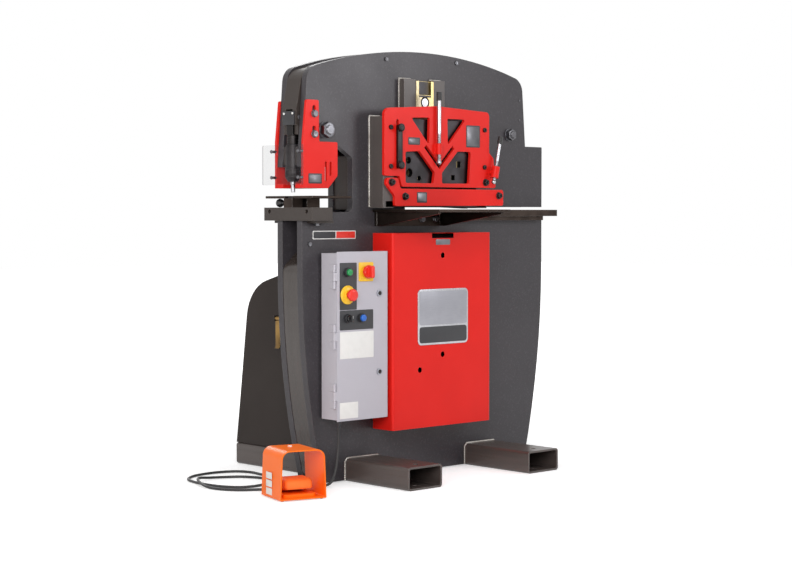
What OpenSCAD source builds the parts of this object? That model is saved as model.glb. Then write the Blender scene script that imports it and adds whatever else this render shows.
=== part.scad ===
// Hydraulic ironworker: punch, angle, rod and flat-bar shear on a two-plate frame, with its foot pedal.
// Millimetres, +Z up, +X from the punch end to the bar-shear end, -Y towards the operator.
// The origin is on the floor, midway between the four anchor holes of the fork tubes.

/* [Side plates] */
// Thickness of each side plate
plate_t = 25; // [20:1:32]
// Clear gap between the two side plates
plate_gap = 75; // [70:1:90]
// Y of the middle plane between the plates
mid_y = -77.5; // [-100:0.5:-60]
// Height of the crown above the floor
frame_h = 1445; // [1430:1:1500]
// Radius of the crown's long arc
crown_r = 1750; // [1600:10:2200]
// Radius of the crown's two shoulders
shoulder_r = 55; // [30:1:70]
// Left end of the frame from the middle
frame_left = 545; // [535:1:580]
// Right end of the frame from the middle
frame_right = 608; // [590:1:640]
// How far the crown's left end leans in
crown_lean = 24; // [10:1:40]
// Right end of the crown from the middle
crown_right = 500; // [490:1:520]
// Shelf at the right end, above the bed
shelf_up = 230; // [214:1:254]
// How far below the bed the foot starts to flare in
flare_down = 206; // [150:1:300]
// Radius of the flare
flare_r = 2800; // [2400:10:3600]
// Gap under the plates, so that the tubes carry the machine
plate_foot = 3; // [1:0.5:8]

/* [Fork tubes] */
// Width of a fork tube
tube_w = 152.4; // [140:0.1:170]
// Height of a fork tube
tube_h = 76.2; // [70:0.1:90]
// Wall of a fork tube
tube_wall = 6.4; // [4:0.1:10]
// Outer corner radius of a fork tube
tube_r = 11; // [8:0.5:16]
// Distance of each tube's centre from the middle
tube_x = 283.4; // [270:0.1:300]
// Length of a fork tube
tube_l = 893; // [860:1:960]
// Diameter of an anchor hole
anchor_d = 18; // [14:0.5:24]
// Distance of each anchor hole from the tube's end
anchor_in = 46.5; // [30:0.5:70]

/* [Punch throat] */
// Back wall of the throat from the middle
throat_back = 325; // [310:1:345]
// Floor of the throat, above the bed
throat_floor_up = -9; // [-16:1:-2]
// Roof of the throat, above the bed
throat_up = 209; // [199:1:214]
// Underside of the nose that carries the ram, above the bed
nose_up = 139; // [136:1:149]
// Length of the nose
nose_l = 100; // [95:1:120]

/* [Flat-bar shear] */
// Height of the head, from the bed and lower blade up to the crown
head_h = 539; // [530:1:560]
// Height of the bar slot in the plates
slot_h = 10; // [8:0.5:14]
// Left end of the bar slot from the middle
slot_left = 85; // [75:1:90]
// Length of the bar blades
blade_l = 355; // [300:1:380]
// Depth of the lower bar blade
blade_h = 50; // [40:1:60]
// Thickness of the lower bar blade
blade_t = 24; // [18:0.5:26]
// Depth of the upper blade's holder above the bed
holder_h = 68; // [60:1:80]
// How far the upper blade passes the lower one
blade_pass = 2; // [1:0.5:3]

/* [Rocking beam] */
// Side clearance of the beam in the gap
beam_clear = 2.5; // [1:0.5:4]
// Distance of the main pivot to the right of the middle
pivot_x = 430; // [420:1:440]
// Main pivot, above the bed
pivot_up = 270; // [259:1:284]
// Diameter of the main pivot pin between the plates
pivot_d = 60; // [50:1:70]
// Diameter of the main pivot pin's threaded ends
pivot_end_d = 24; // [20:1:30]
// Distance of the tie bolt to the left of the middle
tie_x = 447; // [444:1:450]
// Tie bolt, above the bed
tie_up = 260; // [256:1:264]
// Diameter of the tie bolt
tie_d = 30; // [24:1:36]
// Full rocking angle of the beam
rock_deg = 2.07; // [1.5:0.01:2.3]
// Underside of the beam's nose, where it meets the ram, above the bed
beam_nose_up = 244; // [242:1:250]

/* [Cylinder] */
// Distance of the cylinder to the left of the middle
cyl_x = 155; // [150:1:160]
// Outer diameter of the barrel
cyl_d = 120; // [110:1:124]
// Bore of the barrel
cyl_bore = 100; // [80:1:104]
// Diameter of the rod
rod_d = 50; // [40:1:56]
// Diameter of the rod's and barrel's pins
rod_pin_d = 40; // [30:1:42]
// Height of the base pin
base_pin_z = 230; // [220:1:240]
// Bottom of the barrel
barrel_z = 285; // [275:1:300]
// Length of the barrel
barrel_l = 350; // [320:1:380]
// The rod's pin, above the bed
rod_pin_up = 254; // [249:1:264]

/* [Punch station] */
// Distance of the punch axis inside the frame's left end
ram_in = 15; // [12:1:20]
// Diameter of the ram in its guide
ram_d = 48; // [44:1:52]
// Diameter of the ram's upper part
ram_top_d = 40; // [34:1:42]
// Diameter of the coupling nut
coupling_d = 52; // [48:1:56]
// Height of the coupling nut
coupling_h = 46; // [40:1:46]
// Diameter of the punch's working end
punch_d = 14; // [8:0.5:16]
// The punch's working end, above the bed
punch_up = 56; // [54:1:62]
// Clearance between punch and die
die_clear = 0.5; // [0.3:0.1:1]
// Outer diameter of the die
die_d = 34; // [30:1:38]
// Width of the square die holder
die_holder_w = 44; // [42:1:48]
// Height of the die holder
die_holder_h = 30; // [26:1:34]
// Length of the bolster
bolster_l = 88; // [80:1:100]
// Width of the bolster across the plates
bolster_w = 244; // [200:1:270]
// Thickness of the bolster
bolster_t = 43; // [36:1:46]
// The bolster's top, above the bed
bolster_up = 6; // [2:1:8]
// Length of the stock table
stock_l = 168; // [140:1:180]
// Width of the stock table
stock_w = 240; // [220:1:280]
// Thickness of the stock table
stock_t = 8; // [6:0.5:9]

/* [Stripper] */
// Thickness of the stripper's steel
stripper_t = 10; // [8:0.5:12]
// Underside of the stripper, above the bed
stripper_up = 69; // [68:1:74]
// Length of the stripper along the frame
stripper_l = 147; // [140:1:155]
// Top of the stripper's lower flange, above the bed
stripper_mid_up = 221; // [216:1:224]
// Top of the stripper's tongue, above the bed
stripper_top_up = 356; // [344:1:364]
// Thickness of the clear punch guard
clear_t = 5; // [3:0.5:6]

/* [Shear station] */
// Depth of the shear housing in front of the plate
housing_d = 68; // [60:1:76]
// Thickness of the red guard plate
guard_t = 12; // [8:0.5:14]
// Centre of the angle shear to the right of the middle
vee_x = 2; // [0:1:6]
// Bottom of the angle shear's vee, above the bed
vee_up = 137; // [134:1:142]
// Thickness of angle that the vee takes
vee_w = 11; // [9:0.5:13]
// Half width of the vee along its outer edge
vee_half = 72; // [66:1:76]
// Centre of the slider to the left of the middle
slider_x = 17; // [12:1:20]
// Width of the slider
slider_w = 82; // [76:1:88]
// Thickness of the slider
slider_t = 28; // [24:1:28]
// Diameter of the slider's drive pin
drive_d = 30; // [24:1:32]
// The slider's drive pin, above the bed
drive_up = 366; // [362:1:374]
// Width of a guide bar
guide_w = 55; // [45:1:60]

/* [Hold-downs] */
// Diameter of the hold-down screws
screw_d = 14; // [12:1:16]
// Diameter of the black grips
grip_d = 19; // [17:1:24]
// Lean of the right hold-down
lever_deg = 12.6; // [8:0.1:16]
// Distance of the right hold-down's swivel to the right of the middle
lever_x = 256; // [252:1:258]
// The right hold-down's swivel, above the bed
lever_up = 131; // [129:1:134]

/* [Bar table] */
// Length of the bar table along the frame
table_l = 333; // [300:1:360]
// Left edge of the bar table from the middle
table_left = 237; // [220:1:250]
// Depth of the bar table in front of the plate
table_d = 326; // [280:1:360]
// Thickness of the bar table
table_t = 9; // [6:0.5:12]
// Right end of the bed bar from the middle
bed_bar_right = 644; // [620:1:700]

/* [Front cover] */
// Half width of the red front cover
cover_half = 234; // [226:1:238]
// Bottom of the red front cover
cover_z = 166; // [150:1:180]
// Gap from the bed down to the top of the red front cover
cover_down = 79; // [76:1:100]
// Depth of the red front cover
cover_d = 99; // [80:1:110]
// Sheet thickness of the covers
sheet_t = 3; // [2:0.5:4]

/* [Rear cover] */
// Half width of the rear cover
hood_half = 359; // [345:1:375]
// Depth of the rear cover at its foot
hood_d = 461; // [440:1:480]
// Height of the rear cover at the plate
hood_h = 740; // [720:1:760]
// How far the rear cover's back leans in at the top
hood_lean = 74; // [50:1:90]
// How far the rear cover's roof falls to the back
hood_fall = 108; // [90:1:120]
// Radius of its back upper edge
hood_r = 150; // [110:1:160]

/* [Control box] */
// Left side of the control box from the middle
box_left = 469; // [465:1:472]
// Width of the control box
box_w = 222; // [200:1:224]
// Bottom of the control box
box_z = 219; // [200:1:240]
// Gap from the bed down to the top of the control box
box_down = 143; // [130:1:160]
// Depth of the control box
box_d = 74; // [66:1:90]
// Gap behind the control box
box_gap = 8; // [5:1:15]
// Wall of the control box
box_wall = 2; // [1.5:0.5:3]
// Thickness of the door
door_t = 2.5; // [2:0.5:4]

/* [Foot pedal] */
// X of the pedal's centre
pedal_x = -696; // [-720:1:-690]
// Y of the pedal's centre
pedal_y = -277; // [-290:1:-270]
// Turn of the pedal on the floor
pedal_yaw = -16; // [-20:1:-12]
// Width of the pedal guard
pedal_w = 158; // [150:1:170]
// Depth of the pedal guard
pedal_d = 150; // [145:1:165]
// Height of the pedal guard
pedal_h = 157; // [145:1:170]
// Wall of the pedal guard
pedal_t = 4; // [3:0.5:6]
// Diameter of the pedal cord
cord_d = 9; // [8:0.5:10]

/* [Hidden] */
$fn = 64;
// Clearance between faces of pieces that slide
slide_gap = 0.3;
// Radial running clearance of pins and shafts
run_gap = 0.05;
// Radial clearance of bolts in their holes
bolt_gap = 0.5;
// Radial room at the opened pivots of the linkage
free_gap = 2;
// Radial room of the drive pin in the slider, whose path is straight
drive_room = 5;

// Everything in the head is placed from the bed
bed_z = frame_h - head_h;
shelf_z = bed_z + shelf_up;
throat_floor_z = bed_z + throat_floor_up;
throat_z = bed_z + throat_up;
nose_z = bed_z + nose_up;
pivot_z = bed_z + pivot_up;
tie_z = bed_z + tie_up;
beam_nose_z = bed_z + beam_nose_up;
rod_pin_z = bed_z + rod_pin_up;
punch_z = bed_z + punch_up;
bolster_top_z = bed_z + bolster_up;
stripper_z = bed_z + stripper_up;
stripper_mid_z = bed_z + stripper_mid_up;
stripper_top_z = bed_z + stripper_top_up;
vee_z = bed_z + vee_up;
drive_z = bed_z + drive_up;
lever_z = bed_z + lever_up;
flare_z = bed_z - flare_down;
cover_h = bed_z - cover_down - cover_z;
box_h = bed_z - box_down - box_z;
anchor_y = tube_l / 2 - anchor_in;

front_y = mid_y - plate_gap / 2 - plate_t;
back_y = mid_y + plate_gap / 2 + plate_t;
in_front_y = front_y + plate_t;
in_back_y = back_y - plate_t;
crown_left = frame_left - crown_lean;
punch_x = ram_in - frame_left;
nose_right = nose_l - frame_left;
bolster_z = bolster_top_z - bolster_t;
bolster_left = -frame_left - 8;
bolster_right = bolster_left + bolster_l;
stock_left = bolster_left + 4;
ledge_d = 42;
ledge_t = 8;
die_top_z = bolster_top_z + die_holder_h;
slot_top_z = bed_z + slot_h;
blade_left = -slot_left;
blade_right = blade_left + blade_l;
blade_top_z = bed_z + holder_h;
blade_face_y = in_front_y + blade_t + slide_gap;
beam_t = plate_gap - 2 * beam_clear;
beam_y0 = mid_y - beam_t / 2;
beam_y1 = mid_y + beam_t / 2;
guard_y = front_y - housing_d;
guard_front_y = guard_y - guard_t;
rod_x = -cyl_x;
slide_x = -slider_x;
angle_x = vee_x;
table_z = bed_z - table_t;
box_back_y = front_y - box_gap;
box_front_y = box_back_y - box_d;
door_y = box_front_y - slide_gap - door_t;
box_right = box_w - box_left;
coupling_z = nose_z - 3 - coupling_h;

// Height of the crown's arc at a distance from the middle
function crown_z(x) = frame_h - crown_r + sqrt(crown_r * crown_r - x * x);
// How far the foot has flared in at a height
function flare_in(z) = flare_r - sqrt(flare_r * flare_r - pow(flare_z - z, 2));
// Drop of a point of the beam at full stroke
function drop(x) = (pivot_x - x) * sin(rock_deg);
// Points whose heights are given from the bed
function above_bed(p) = [for (q = p) [q.x, bed_z + q.y]];

function unit(v) = v / norm(v);
function wrap(a) = a > 180 ? a - 360 : a < -180 ? a + 360 : a;
// The arc that rounds one corner of an outline
function corner(before, at, after, r, steps = 8) =
    r <= 0 ? [at] :
    let (to_a = unit(before - at),
         to_b = unit(after - at),
         half = acos(to_a * to_b) / 2,
         mid = at + unit(to_a + to_b) * r / sin(half),
         from = at + to_a * r / tan(half) - mid,
         to = at + to_b * r / tan(half) - mid,
         a0 = atan2(from.y, from.x),
         sweep = wrap(atan2(to.y, to.x) - a0))
    [for (i = [0 : steps]) mid + r * [cos(a0 + sweep * i / steps), sin(a0 + sweep * i / steps)]];
function flat(p) = [p.x, p.y];
// An outline of [x, y, corner radius] points as plain points
function rounded(p) =
    let (n = len(p))
    [for (i = [0 : n - 1])
        each corner(flat(p[(i + n - 1) % n]), flat(p[i]), flat(p[(i + 1) % n]), p[i].z)];

module block(low, high) {
    translate(low) cube(high - low);
}

// A rod along X, Y or Z between two places
module rod_along_x(y, z, x0, x1, d) {
    translate([x0, y, z]) rotate([0, 90, 0]) cylinder(d = d, h = x1 - x0);
}

module rod_along_y(x, z, y0, y1, d) {
    translate([x, y1, z]) rotate([90, 0, 0]) cylinder(d = d, h = y1 - y0);
}

module rod_along_z(x, y, z0, z1, d) {
    translate([x, y, z0]) cylinder(d = d, h = z1 - z0);
}

// An outline in X and Z, drawn out along Y
module along_y(y0, y1) {
    translate([0, y1, 0]) rotate([90, 0, 0]) linear_extrude(y1 - y0) children();
}

// An outline in Y and Z, drawn out along X
module along_x(x0, x1) {
    translate([x0, 0, 0]) rotate([90, 0, 90]) linear_extrude(x1 - x0) children();
}

// A rectangle from corner to corner with round corners
module round_rect(low, high, r) {
    polygon(rounded([[low.x, low.y, r], [high.x, low.y, r], [high.x, high.y, r], [low.x, high.y, r]]));
}

// An outline whose heights are given from the bed
module head_shape(p) {
    translate([0, bed_z]) polygon(rounded(p));
}

// An upright slot with round ends
module upright_slot(x, z0, z1, w) {
    round_rect([x - w / 2, z0 - w / 2], [x + w / 2, z1 + w / 2], w / 2 - 0.01);
}

// A hexagon head with its face at y, pointing to -Y, and a shank behind it
module front_bolt(x, z, y, d, shank) {
    translate([x, y, z]) rotate([90, 0, 0]) cylinder(d = 1.9 * d, h = 0.65 * d, $fn = 6);
    rod_along_y(x, z, y - 0.1, y + shank, d);
}

// Side plates

flare_steps = 8;
crown_steps = 20;
crown_flat = 90;
fit_gap = 0.5;
window_room = 6;

function tube_notch(side) =
    let (x = side * tube_x, half = tube_w / 2 + fit_gap, top = tube_h + fit_gap)
    [[x + half, plate_foot, 0], [x + half, top, tube_r], [x - half, top, tube_r], [x - half, plate_foot, 0]];

function crown_arc(left, right, sink) =
    [for (i = [0 : crown_steps])
        let (x = left + (right - left) * i / crown_steps) [x, crown_z(x) - sink, 0]];

function plate_outline() = concat(
    [for (i = [0 : flare_steps])
        let (z = plate_foot + (flare_z - plate_foot) * i / flare_steps) [flare_in(z) - frame_left, z, 0]],
    [[-frame_left, bolster_z - fit_gap, 0],
     [bolster_right + fit_gap, bolster_z - fit_gap, 0],
     [bolster_right + fit_gap, throat_floor_z, 0],
     [-throat_back, throat_floor_z, 22],
     [-throat_back, throat_z - 38, 10],
     [-throat_back - 60, throat_z, 10],
     [nose_right, throat_z, 0],
     [nose_right, nose_z, 0],
     [-frame_left, nose_z, 0],
     [-crown_left, crown_z(crown_left), shoulder_r]],
    crown_arc(crown_flat - crown_left, crown_right - crown_flat, 0),
    [[crown_right, crown_z(crown_right), shoulder_r],
     [crown_right + 18, shelf_z, 0],
     [frame_right, shelf_z, 4],
     [frame_right, slot_top_z, 2],
     [blade_left, slot_top_z, 0],
     [blade_left, bed_z, 0],
     [frame_right, bed_z, 2]],
    [for (i = [0 : flare_steps])
        let (z = flare_z - (flare_z - plate_foot) * i / flare_steps) [frame_right - flare_in(z), z, 0]],
    tube_notch(1),
    tube_notch(-1));

// The window that lets an angle bar pass right through the frame
module angle_window(room) {
    round_rect([angle_x - vee_half - 12, vee_z - 10 - room], [angle_x + vee_half + 12, vee_z + vee_half + 10], 8);
}

module side_plate_outline() {
    difference() {
        polygon(rounded(plate_outline()));
        round_rect([rod_x - cyl_d / 2 - window_room, barrel_z - window_room],
                   [rod_x + cyl_d / 2 + window_room, barrel_z + barrel_l + window_room], 12);
        angle_window(0);
        translate([pivot_x, pivot_z]) circle(d = pivot_end_d + 2 * bolt_gap);
        translate([-tie_x, tie_z]) circle(d = tie_d + 2 * bolt_gap);
        translate([rod_x, base_pin_z]) circle(d = rod_pin_d + 2 * run_gap);
        for (p = stripper_bolts) translate(p) circle(d = stripper_bolt_d + 2 * bolt_gap);
    }
}

module front_plate() {
    color("#4d4b50")
    difference() {
        along_y(front_y, in_front_y) side_plate_outline();
        along_y(front_y - 1, in_front_y + 1)
            upright_slot(slide_x, drive_z - drop(slide_x) - 3, drive_z + 3, drive_d + 8);
        for (p = plate_bolts) rod_along_y(p.x, p.y, front_y - 1, front_y + 20, plate_bolt_d + 2 * bolt_gap);
    }
}

module rear_plate() {
    color("#4d4b50") along_y(in_back_y, back_y) side_plate_outline();
}

// Blocks welded between the plates: neck, punch arm, bed, right shelf and foot
module frame_spacers() {
    neck_right = rod_x - rod_d / 2 - 25;
    arm_right = -throat_back;
    color("#3f3d40") {
        block([-throat_back + 5, in_front_y, throat_floor_z + 8], [neck_right, in_back_y, throat_z - 30]);
        block([punch_x + 60, in_front_y, bolster_z - 90], [arm_right, in_back_y, bolster_z - fit_gap]);
        block([blade_left + 5, in_front_y, bed_z - blade_h - 40], [frame_right - 15, in_back_y, bed_z - blade_h]);
        block([crown_right + 32, in_front_y, slot_top_z + 8], [frame_right - 6, in_back_y, shelf_z - 8]);
        block([-110, in_front_y, tube_h + 14], [110, in_back_y, tube_h + 64]);
        block([tube_x + 100, in_front_y, tube_h + 24], [tube_x + 220, in_back_y, tube_h + 84]);
        block([-tube_x - 140, in_front_y, tube_h + 24], [-tube_x - 60, in_back_y, tube_h + 84]);
    }
}

// Fork tubes, each open from end to end, with two anchor holes
module fork_tubes() {
    color("#4a4542")
    for (side = [-1, 1])
        translate([side * tube_x, 0, 0])
            difference() {
                along_y(-tube_l / 2, tube_l / 2)
                    difference() {
                        round_rect([-tube_w / 2, 0], [tube_w / 2, tube_h], tube_r);
                        round_rect([tube_wall - tube_w / 2, tube_wall],
                                   [tube_w / 2 - tube_wall, tube_h - tube_wall], tube_r - tube_wall);
                    }
                for (y = [-anchor_y, anchor_y]) rod_along_z(0, y, -1, tube_h + 1, anchor_d);
            }
}

// A stud right through the frame with a washer and a nut at each end
module frame_stud(x, z, d, nut_af) {
    washer_t = 5;
    nut_h = 0.7 * d;
    end = washer_t + nut_h + 6;
    rod_along_y(x, z, front_y - end, back_y + end, d);
    for (side = [0, 1]) {
        face_y = side == 0 ? front_y : back_y;
        turn = side == 0 ? 90 : -90;
        translate([x, face_y, z]) rotate([turn, 0, 0]) {
            difference() {
                cylinder(d = nut_af + 8, h = washer_t);
                translate([0, 0, -1]) cylinder(d = d + 2 * bolt_gap, h = washer_t + 2);
            }
            translate([0, 0, washer_t])
                difference() {
                    cylinder(d = nut_af / cos(30), h = nut_h, $fn = 6);
                    translate([0, 0, -1]) cylinder(d = d + 2 * run_gap, h = nut_h + 2);
                }
        }
    }
}

module tie_bolt() {
    color("#8f9299") frame_stud(-tie_x, tie_z, tie_d, tie_d + 16);
}

module pivot_pin() {
    color("#8f9299") {
        frame_stud(pivot_x, pivot_z, pivot_end_d, pivot_end_d + 12);
        rod_along_y(pivot_x, pivot_z, in_front_y, in_back_y, pivot_d);
    }
}

// Rocking beam, which works punch, slider and bar blade

crown_gap = 8;
eye_t = 34;
eye_half = 40;
tongue_t = 30;
tongue_h = 76;
return_pin_d = 16;
return_pin_z = beam_nose_z + 56;
nose_step = 30;
ram_gap = 1.5;

function beam_outline() = concat(
    [[punch_x - 16, beam_nose_z + nose_step, 0],
     [punch_x - 8, beam_nose_z + nose_step, 0],
     [punch_x - 8, beam_nose_z, 0],
     [rod_x - eye_half - 12, beam_nose_z, 0],
     [rod_x - eye_half - 12, throat_z - 6, 0],
     [blade_left - 5, throat_z - 6, 0],
     [blade_left - 5, blade_top_z, 0],
     [blade_right + 20, blade_top_z, 0],
     [blade_right + 60, shelf_z - 50, 0],
     [crown_right - 6, shelf_z - 50, 0],
     [crown_right - 6, crown_z(crown_right) - crown_gap, shoulder_r]],
    crown_arc(crown_right - crown_flat, crown_flat - crown_left, crown_gap),
    [[-crown_left + 2, crown_z(crown_left) - crown_gap, shoulder_r],
     [punch_x - 16, beam_nose_z + nose_step + 50, 0]]);

module rocking_beam() {
    tie_room = tie_d / 2 + 4;
    color("#454347")
    difference() {
        along_y(beam_y0, beam_y1)
            difference() {
                polygon(rounded(beam_outline()));
                angle_window(0);
                translate([0, drop(angle_x)]) angle_window(0);
                upright_slot(-tie_x, tie_z, tie_z + drop(-tie_x), 2 * tie_room);
                translate([-tie_x - tie_room, tie_z - 60]) square([2 * tie_room, 60]);
                translate([pivot_x, pivot_z]) circle(d = pivot_d + 2 * run_gap);
                translate([rod_x, rod_pin_z]) circle(d = rod_pin_d + 2 * run_gap);
                translate([slide_x, drive_z]) circle(d = drive_d + 2 * run_gap);
                translate([punch_x, return_pin_z]) circle(d = return_pin_d + 2 * run_gap);
            }
        block([rod_x - eye_half - 8, mid_y - eye_t / 2 - free_gap, throat_z - 20],
              [rod_x + eye_half + 8, mid_y + eye_t / 2 + free_gap, rod_pin_z + eye_half + 14]);
        block([punch_x - 30, mid_y - tongue_t / 2 - free_gap, beam_nose_z - 10],
              [punch_x + ram_top_d / 2 + 6, mid_y + tongue_t / 2 + free_gap, beam_nose_z + tongue_h + 6]);
    }
}

// Pins pressed in the beam: cylinder rod, slider drive and ram return
module beam_pins() {
    color("#9a9ca0") {
        rod_along_y(rod_x, rod_pin_z, beam_y0, beam_y1, rod_pin_d);
        rod_along_y(slide_x, drive_z, front_y - slide_gap - slider_t, beam_y1, drive_d);
        rod_along_y(punch_x, return_pin_z, beam_y0, beam_y1, return_pin_d);
    }
}

// Upper bar blade, raked so that it lies level at the end of the stroke
module upper_bar_blade() {
    color("#a3a5a8")
    along_y(blade_face_y, blade_face_y + blade_t)
        polygon([[blade_left, blade_top_z], [blade_right, blade_top_z],
                 [blade_right, bed_z + drop(blade_right) - blade_pass],
                 [blade_left, bed_z + drop(blade_left) - blade_pass]]);
}

// Cylinder, pinned at its base between the plates

cap_h = 40;
piston_h = 30;
rod_drop = drop(rod_x);
piston_z = barrel_z + barrel_l - cap_h - piston_h - 10;

module cylinder_barrel() {
    color("#55585c") {
        difference() {
            union() {
                rod_along_z(rod_x, mid_y, barrel_z, barrel_z + barrel_l, cyl_d);
                block([rod_x - rod_pin_d, mid_y - eye_t / 2, base_pin_z],
                      [rod_x + rod_pin_d, mid_y + eye_t / 2, barrel_z + 1]);
                rod_along_y(rod_x, base_pin_z, mid_y - eye_t / 2, mid_y + eye_t / 2, 2 * rod_pin_d);
                rod_along_y(rod_x, port_z, mid_y + cyl_d / 2 - 8, port_y, port_d);
            }
            rod_along_z(rod_x, mid_y, barrel_z + 20, barrel_z + barrel_l - cap_h, cyl_bore);
            rod_along_z(rod_x, mid_y, barrel_z + 20, barrel_z + barrel_l + 1, rod_d + 2 * run_gap);
            rod_along_y(rod_x, base_pin_z, front_y, back_y, rod_pin_d + 2 * run_gap);
        }
        rod_along_y(rod_x, base_pin_z, front_y, back_y, rod_pin_d);
    }
}

module cylinder_rod() {
    color("#c9ccd0")
    difference() {
        union() {
            rod_along_z(rod_x, mid_y, piston_z, piston_z + piston_h, cyl_bore - 2 * run_gap);
            rod_along_z(rod_x, mid_y, piston_z, rod_pin_z - 2 * eye_half + 5, rod_d);
            block([rod_x - eye_half, mid_y - eye_t / 2, rod_pin_z - 2 * eye_half],
                  [rod_x + eye_half, mid_y + eye_t / 2, rod_pin_z + eye_half]);
        }
        rod_along_y(rod_x, rod_pin_z, beam_y0, beam_y1, rod_pin_d + 2 * free_gap);
    }
}

// Punch station

stem_d = 30;
stem_h = 32;
head_d = 28;
head_t = 6;
shank_d = 18;
stem_z = coupling_z + coupling_h - stem_h;
ram_step_z = nose_z + 72;

module ram_guide() {
    color("#3f3d40")
    difference() {
        block([-frame_left + 5, in_front_y, nose_z + 5], [nose_right - 15, in_back_y, ram_step_z - 7]);
        rod_along_z(punch_x, mid_y, nose_z, ram_step_z, ram_d + 2 * slide_gap);
    }
}

module punch_ram() {
    ram_top_z = beam_nose_z - ram_gap;
    color("#2b2b2d")
    difference() {
        union() {
            rod_along_z(punch_x, mid_y, ram_step_z, ram_top_z, ram_top_d);
            rod_along_z(punch_x, mid_y, coupling_z + coupling_h + slide_gap, ram_step_z, ram_d);
            rod_along_z(punch_x, mid_y, stem_z, coupling_z + coupling_h + 1, stem_d);
            block([punch_x - 14, mid_y - tongue_t / 2, ram_top_z - 1],
                  [punch_x + 16, mid_y + tongue_t / 2, beam_nose_z + tongue_h]);
        }
        rod_along_y(punch_x, return_pin_z, beam_y0, beam_y1, return_pin_d + 2 * free_gap);
    }
}

// Knurled nut that holds the punch's head up against the ram
module coupling_nut() {
    taper_h = 14;
    head_z = stem_z - head_t - slide_gap;
    color("#2b2b2d")
    translate([punch_x, mid_y, 0])
        difference() {
            union() {
                translate([0, 0, coupling_z + taper_h]) cylinder(d = coupling_d, h = coupling_h - taper_h);
                translate([0, 0, coupling_z]) cylinder(d1 = head_d + 6, d2 = coupling_d, h = taper_h);
            }
            translate([0, 0, coupling_z - 1]) cylinder(d = shank_d + 2 * slide_gap, h = coupling_h + 2);
            translate([0, 0, head_z - slide_gap]) cylinder(d = head_d + 2 * slide_gap, h = coupling_h);
            translate([0, 0, stem_z - slide_gap]) cylinder(d = stem_d + 2 * run_gap, h = coupling_h);
        }
}

module punch() {
    tip_h = 24;
    color("#b9bcc0")
    translate([punch_x, mid_y, 0]) {
        translate([0, 0, stem_z - head_t]) cylinder(d = head_d, h = head_t);
        translate([0, 0, punch_z + tip_h]) cylinder(d = shank_d, h = stem_z - head_t - punch_z - tip_h);
        translate([0, 0, punch_z]) cylinder(d = punch_d, h = tip_h);
    }
}

module bolster() {
    hole_d = 14;
    hole_y = 95;
    color("#4d4b50")
    difference() {
        block([bolster_left, mid_y - bolster_w / 2, bolster_z],
              [bolster_right, mid_y + bolster_w / 2, bolster_top_z]);
        rod_along_z(punch_x, mid_y, bolster_z - 1, bolster_top_z + 1, die_d - 8);
        for (side = [-1, 1])
            rod_along_x(mid_y + side * hole_y, bolster_z + 30, bolster_left - 1, bolster_left + 30, hole_d);
    }
    color("#4d4b50")
    for (y = [front_y - ledge_d, back_y])
        block([bolster_left + 30, y, bolster_z - ledge_t], [bolster_right + 20, y + ledge_d, bolster_z]);
}

// Square die holder, its clamp knob, and the riser that carries the stock table
module die_holder() {
    half = die_holder_w / 2;
    riser_x = punch_x + half + 8;
    knob_d = 28;
    knob_y = mid_y + half + 45;
    knob_z = die_top_z - 15;
    color("#3b3835") {
        difference() {
            block([punch_x - half, mid_y - half, bolster_top_z],
                  [punch_x + half, mid_y + half, die_top_z]);
            rod_along_z(punch_x, mid_y, bolster_top_z + 6, die_top_z + 1, die_d + 2 * run_gap);
            rod_along_z(punch_x, mid_y, bolster_top_z - 1, die_top_z, die_d - 8);
        }
        block([riser_x, mid_y - 35, bolster_top_z], [riser_x + 55, mid_y + 35, die_top_z]);
        rod_along_y(punch_x, knob_z, mid_y + half, knob_y, 10);
        translate([punch_x, knob_y, knob_z]) sphere(d = knob_d);
    }
}

module die() {
    color("#8a8c90")
    difference() {
        rod_along_z(punch_x, mid_y, bolster_top_z + 6, die_top_z + stock_t / 2, die_d);
        rod_along_z(punch_x, mid_y, bolster_top_z, die_top_z + stock_t, punch_d + 2 * die_clear);
    }
}

module stock_table() {
    room = die_d + 8;
    color("#6b5f55")
    difference() {
        along_x(stock_left, stock_left + stock_l)
            round_rect([mid_y - stock_w / 2, die_top_z], [mid_y + stock_w / 2, die_top_z + stock_t], 2);
        rod_along_z(punch_x, mid_y, die_top_z - 1, die_top_z + stock_t + 1, room);
        block([stock_left - 1, mid_y - room / 2, die_top_z - 1],
              [punch_x, mid_y + room / 2, die_top_z + stock_t + 1]);
    }
}

// Bent sheet that leads the slugs out of the left end and closes it down to the foot
module slug_chute() {
    top_z = bolster_z - 92;
    left = 2 - frame_left;
    fall = [for (i = [0 : flare_steps])
        let (z = flare_z - 30 - (flare_z - 35 - plate_foot) * i / flare_steps) [flare_in(z) + left, z, 0]];
    color("#4a4848")
    along_y(in_front_y + slide_gap, in_back_y - slide_gap)
        polygon(rounded(concat(
            [[punch_x + 60, top_z, 0], [left, top_z - 60, 40]], fall,
            [for (i = [flare_steps : -1 : 0]) fall[i] + [sheet_t, 0, 0]],
            [[left + sheet_t, top_z - 62, 38], [punch_x + 60, top_z - 4, 0]])));
}

// Stripper: two flanges on the plates, joined by a fork under the punch

stripper_bolt_d = 12;
stripper_left = -frame_left - 2;
stripper_right = stripper_left + stripper_l;
tongue_x = stripper_left + 40;
stripper_drop = 20;
stripper_bolts = [[tongue_x + 6, stripper_top_z - 45], [tongue_x + 6, stripper_mid_z + 24]];

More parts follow.
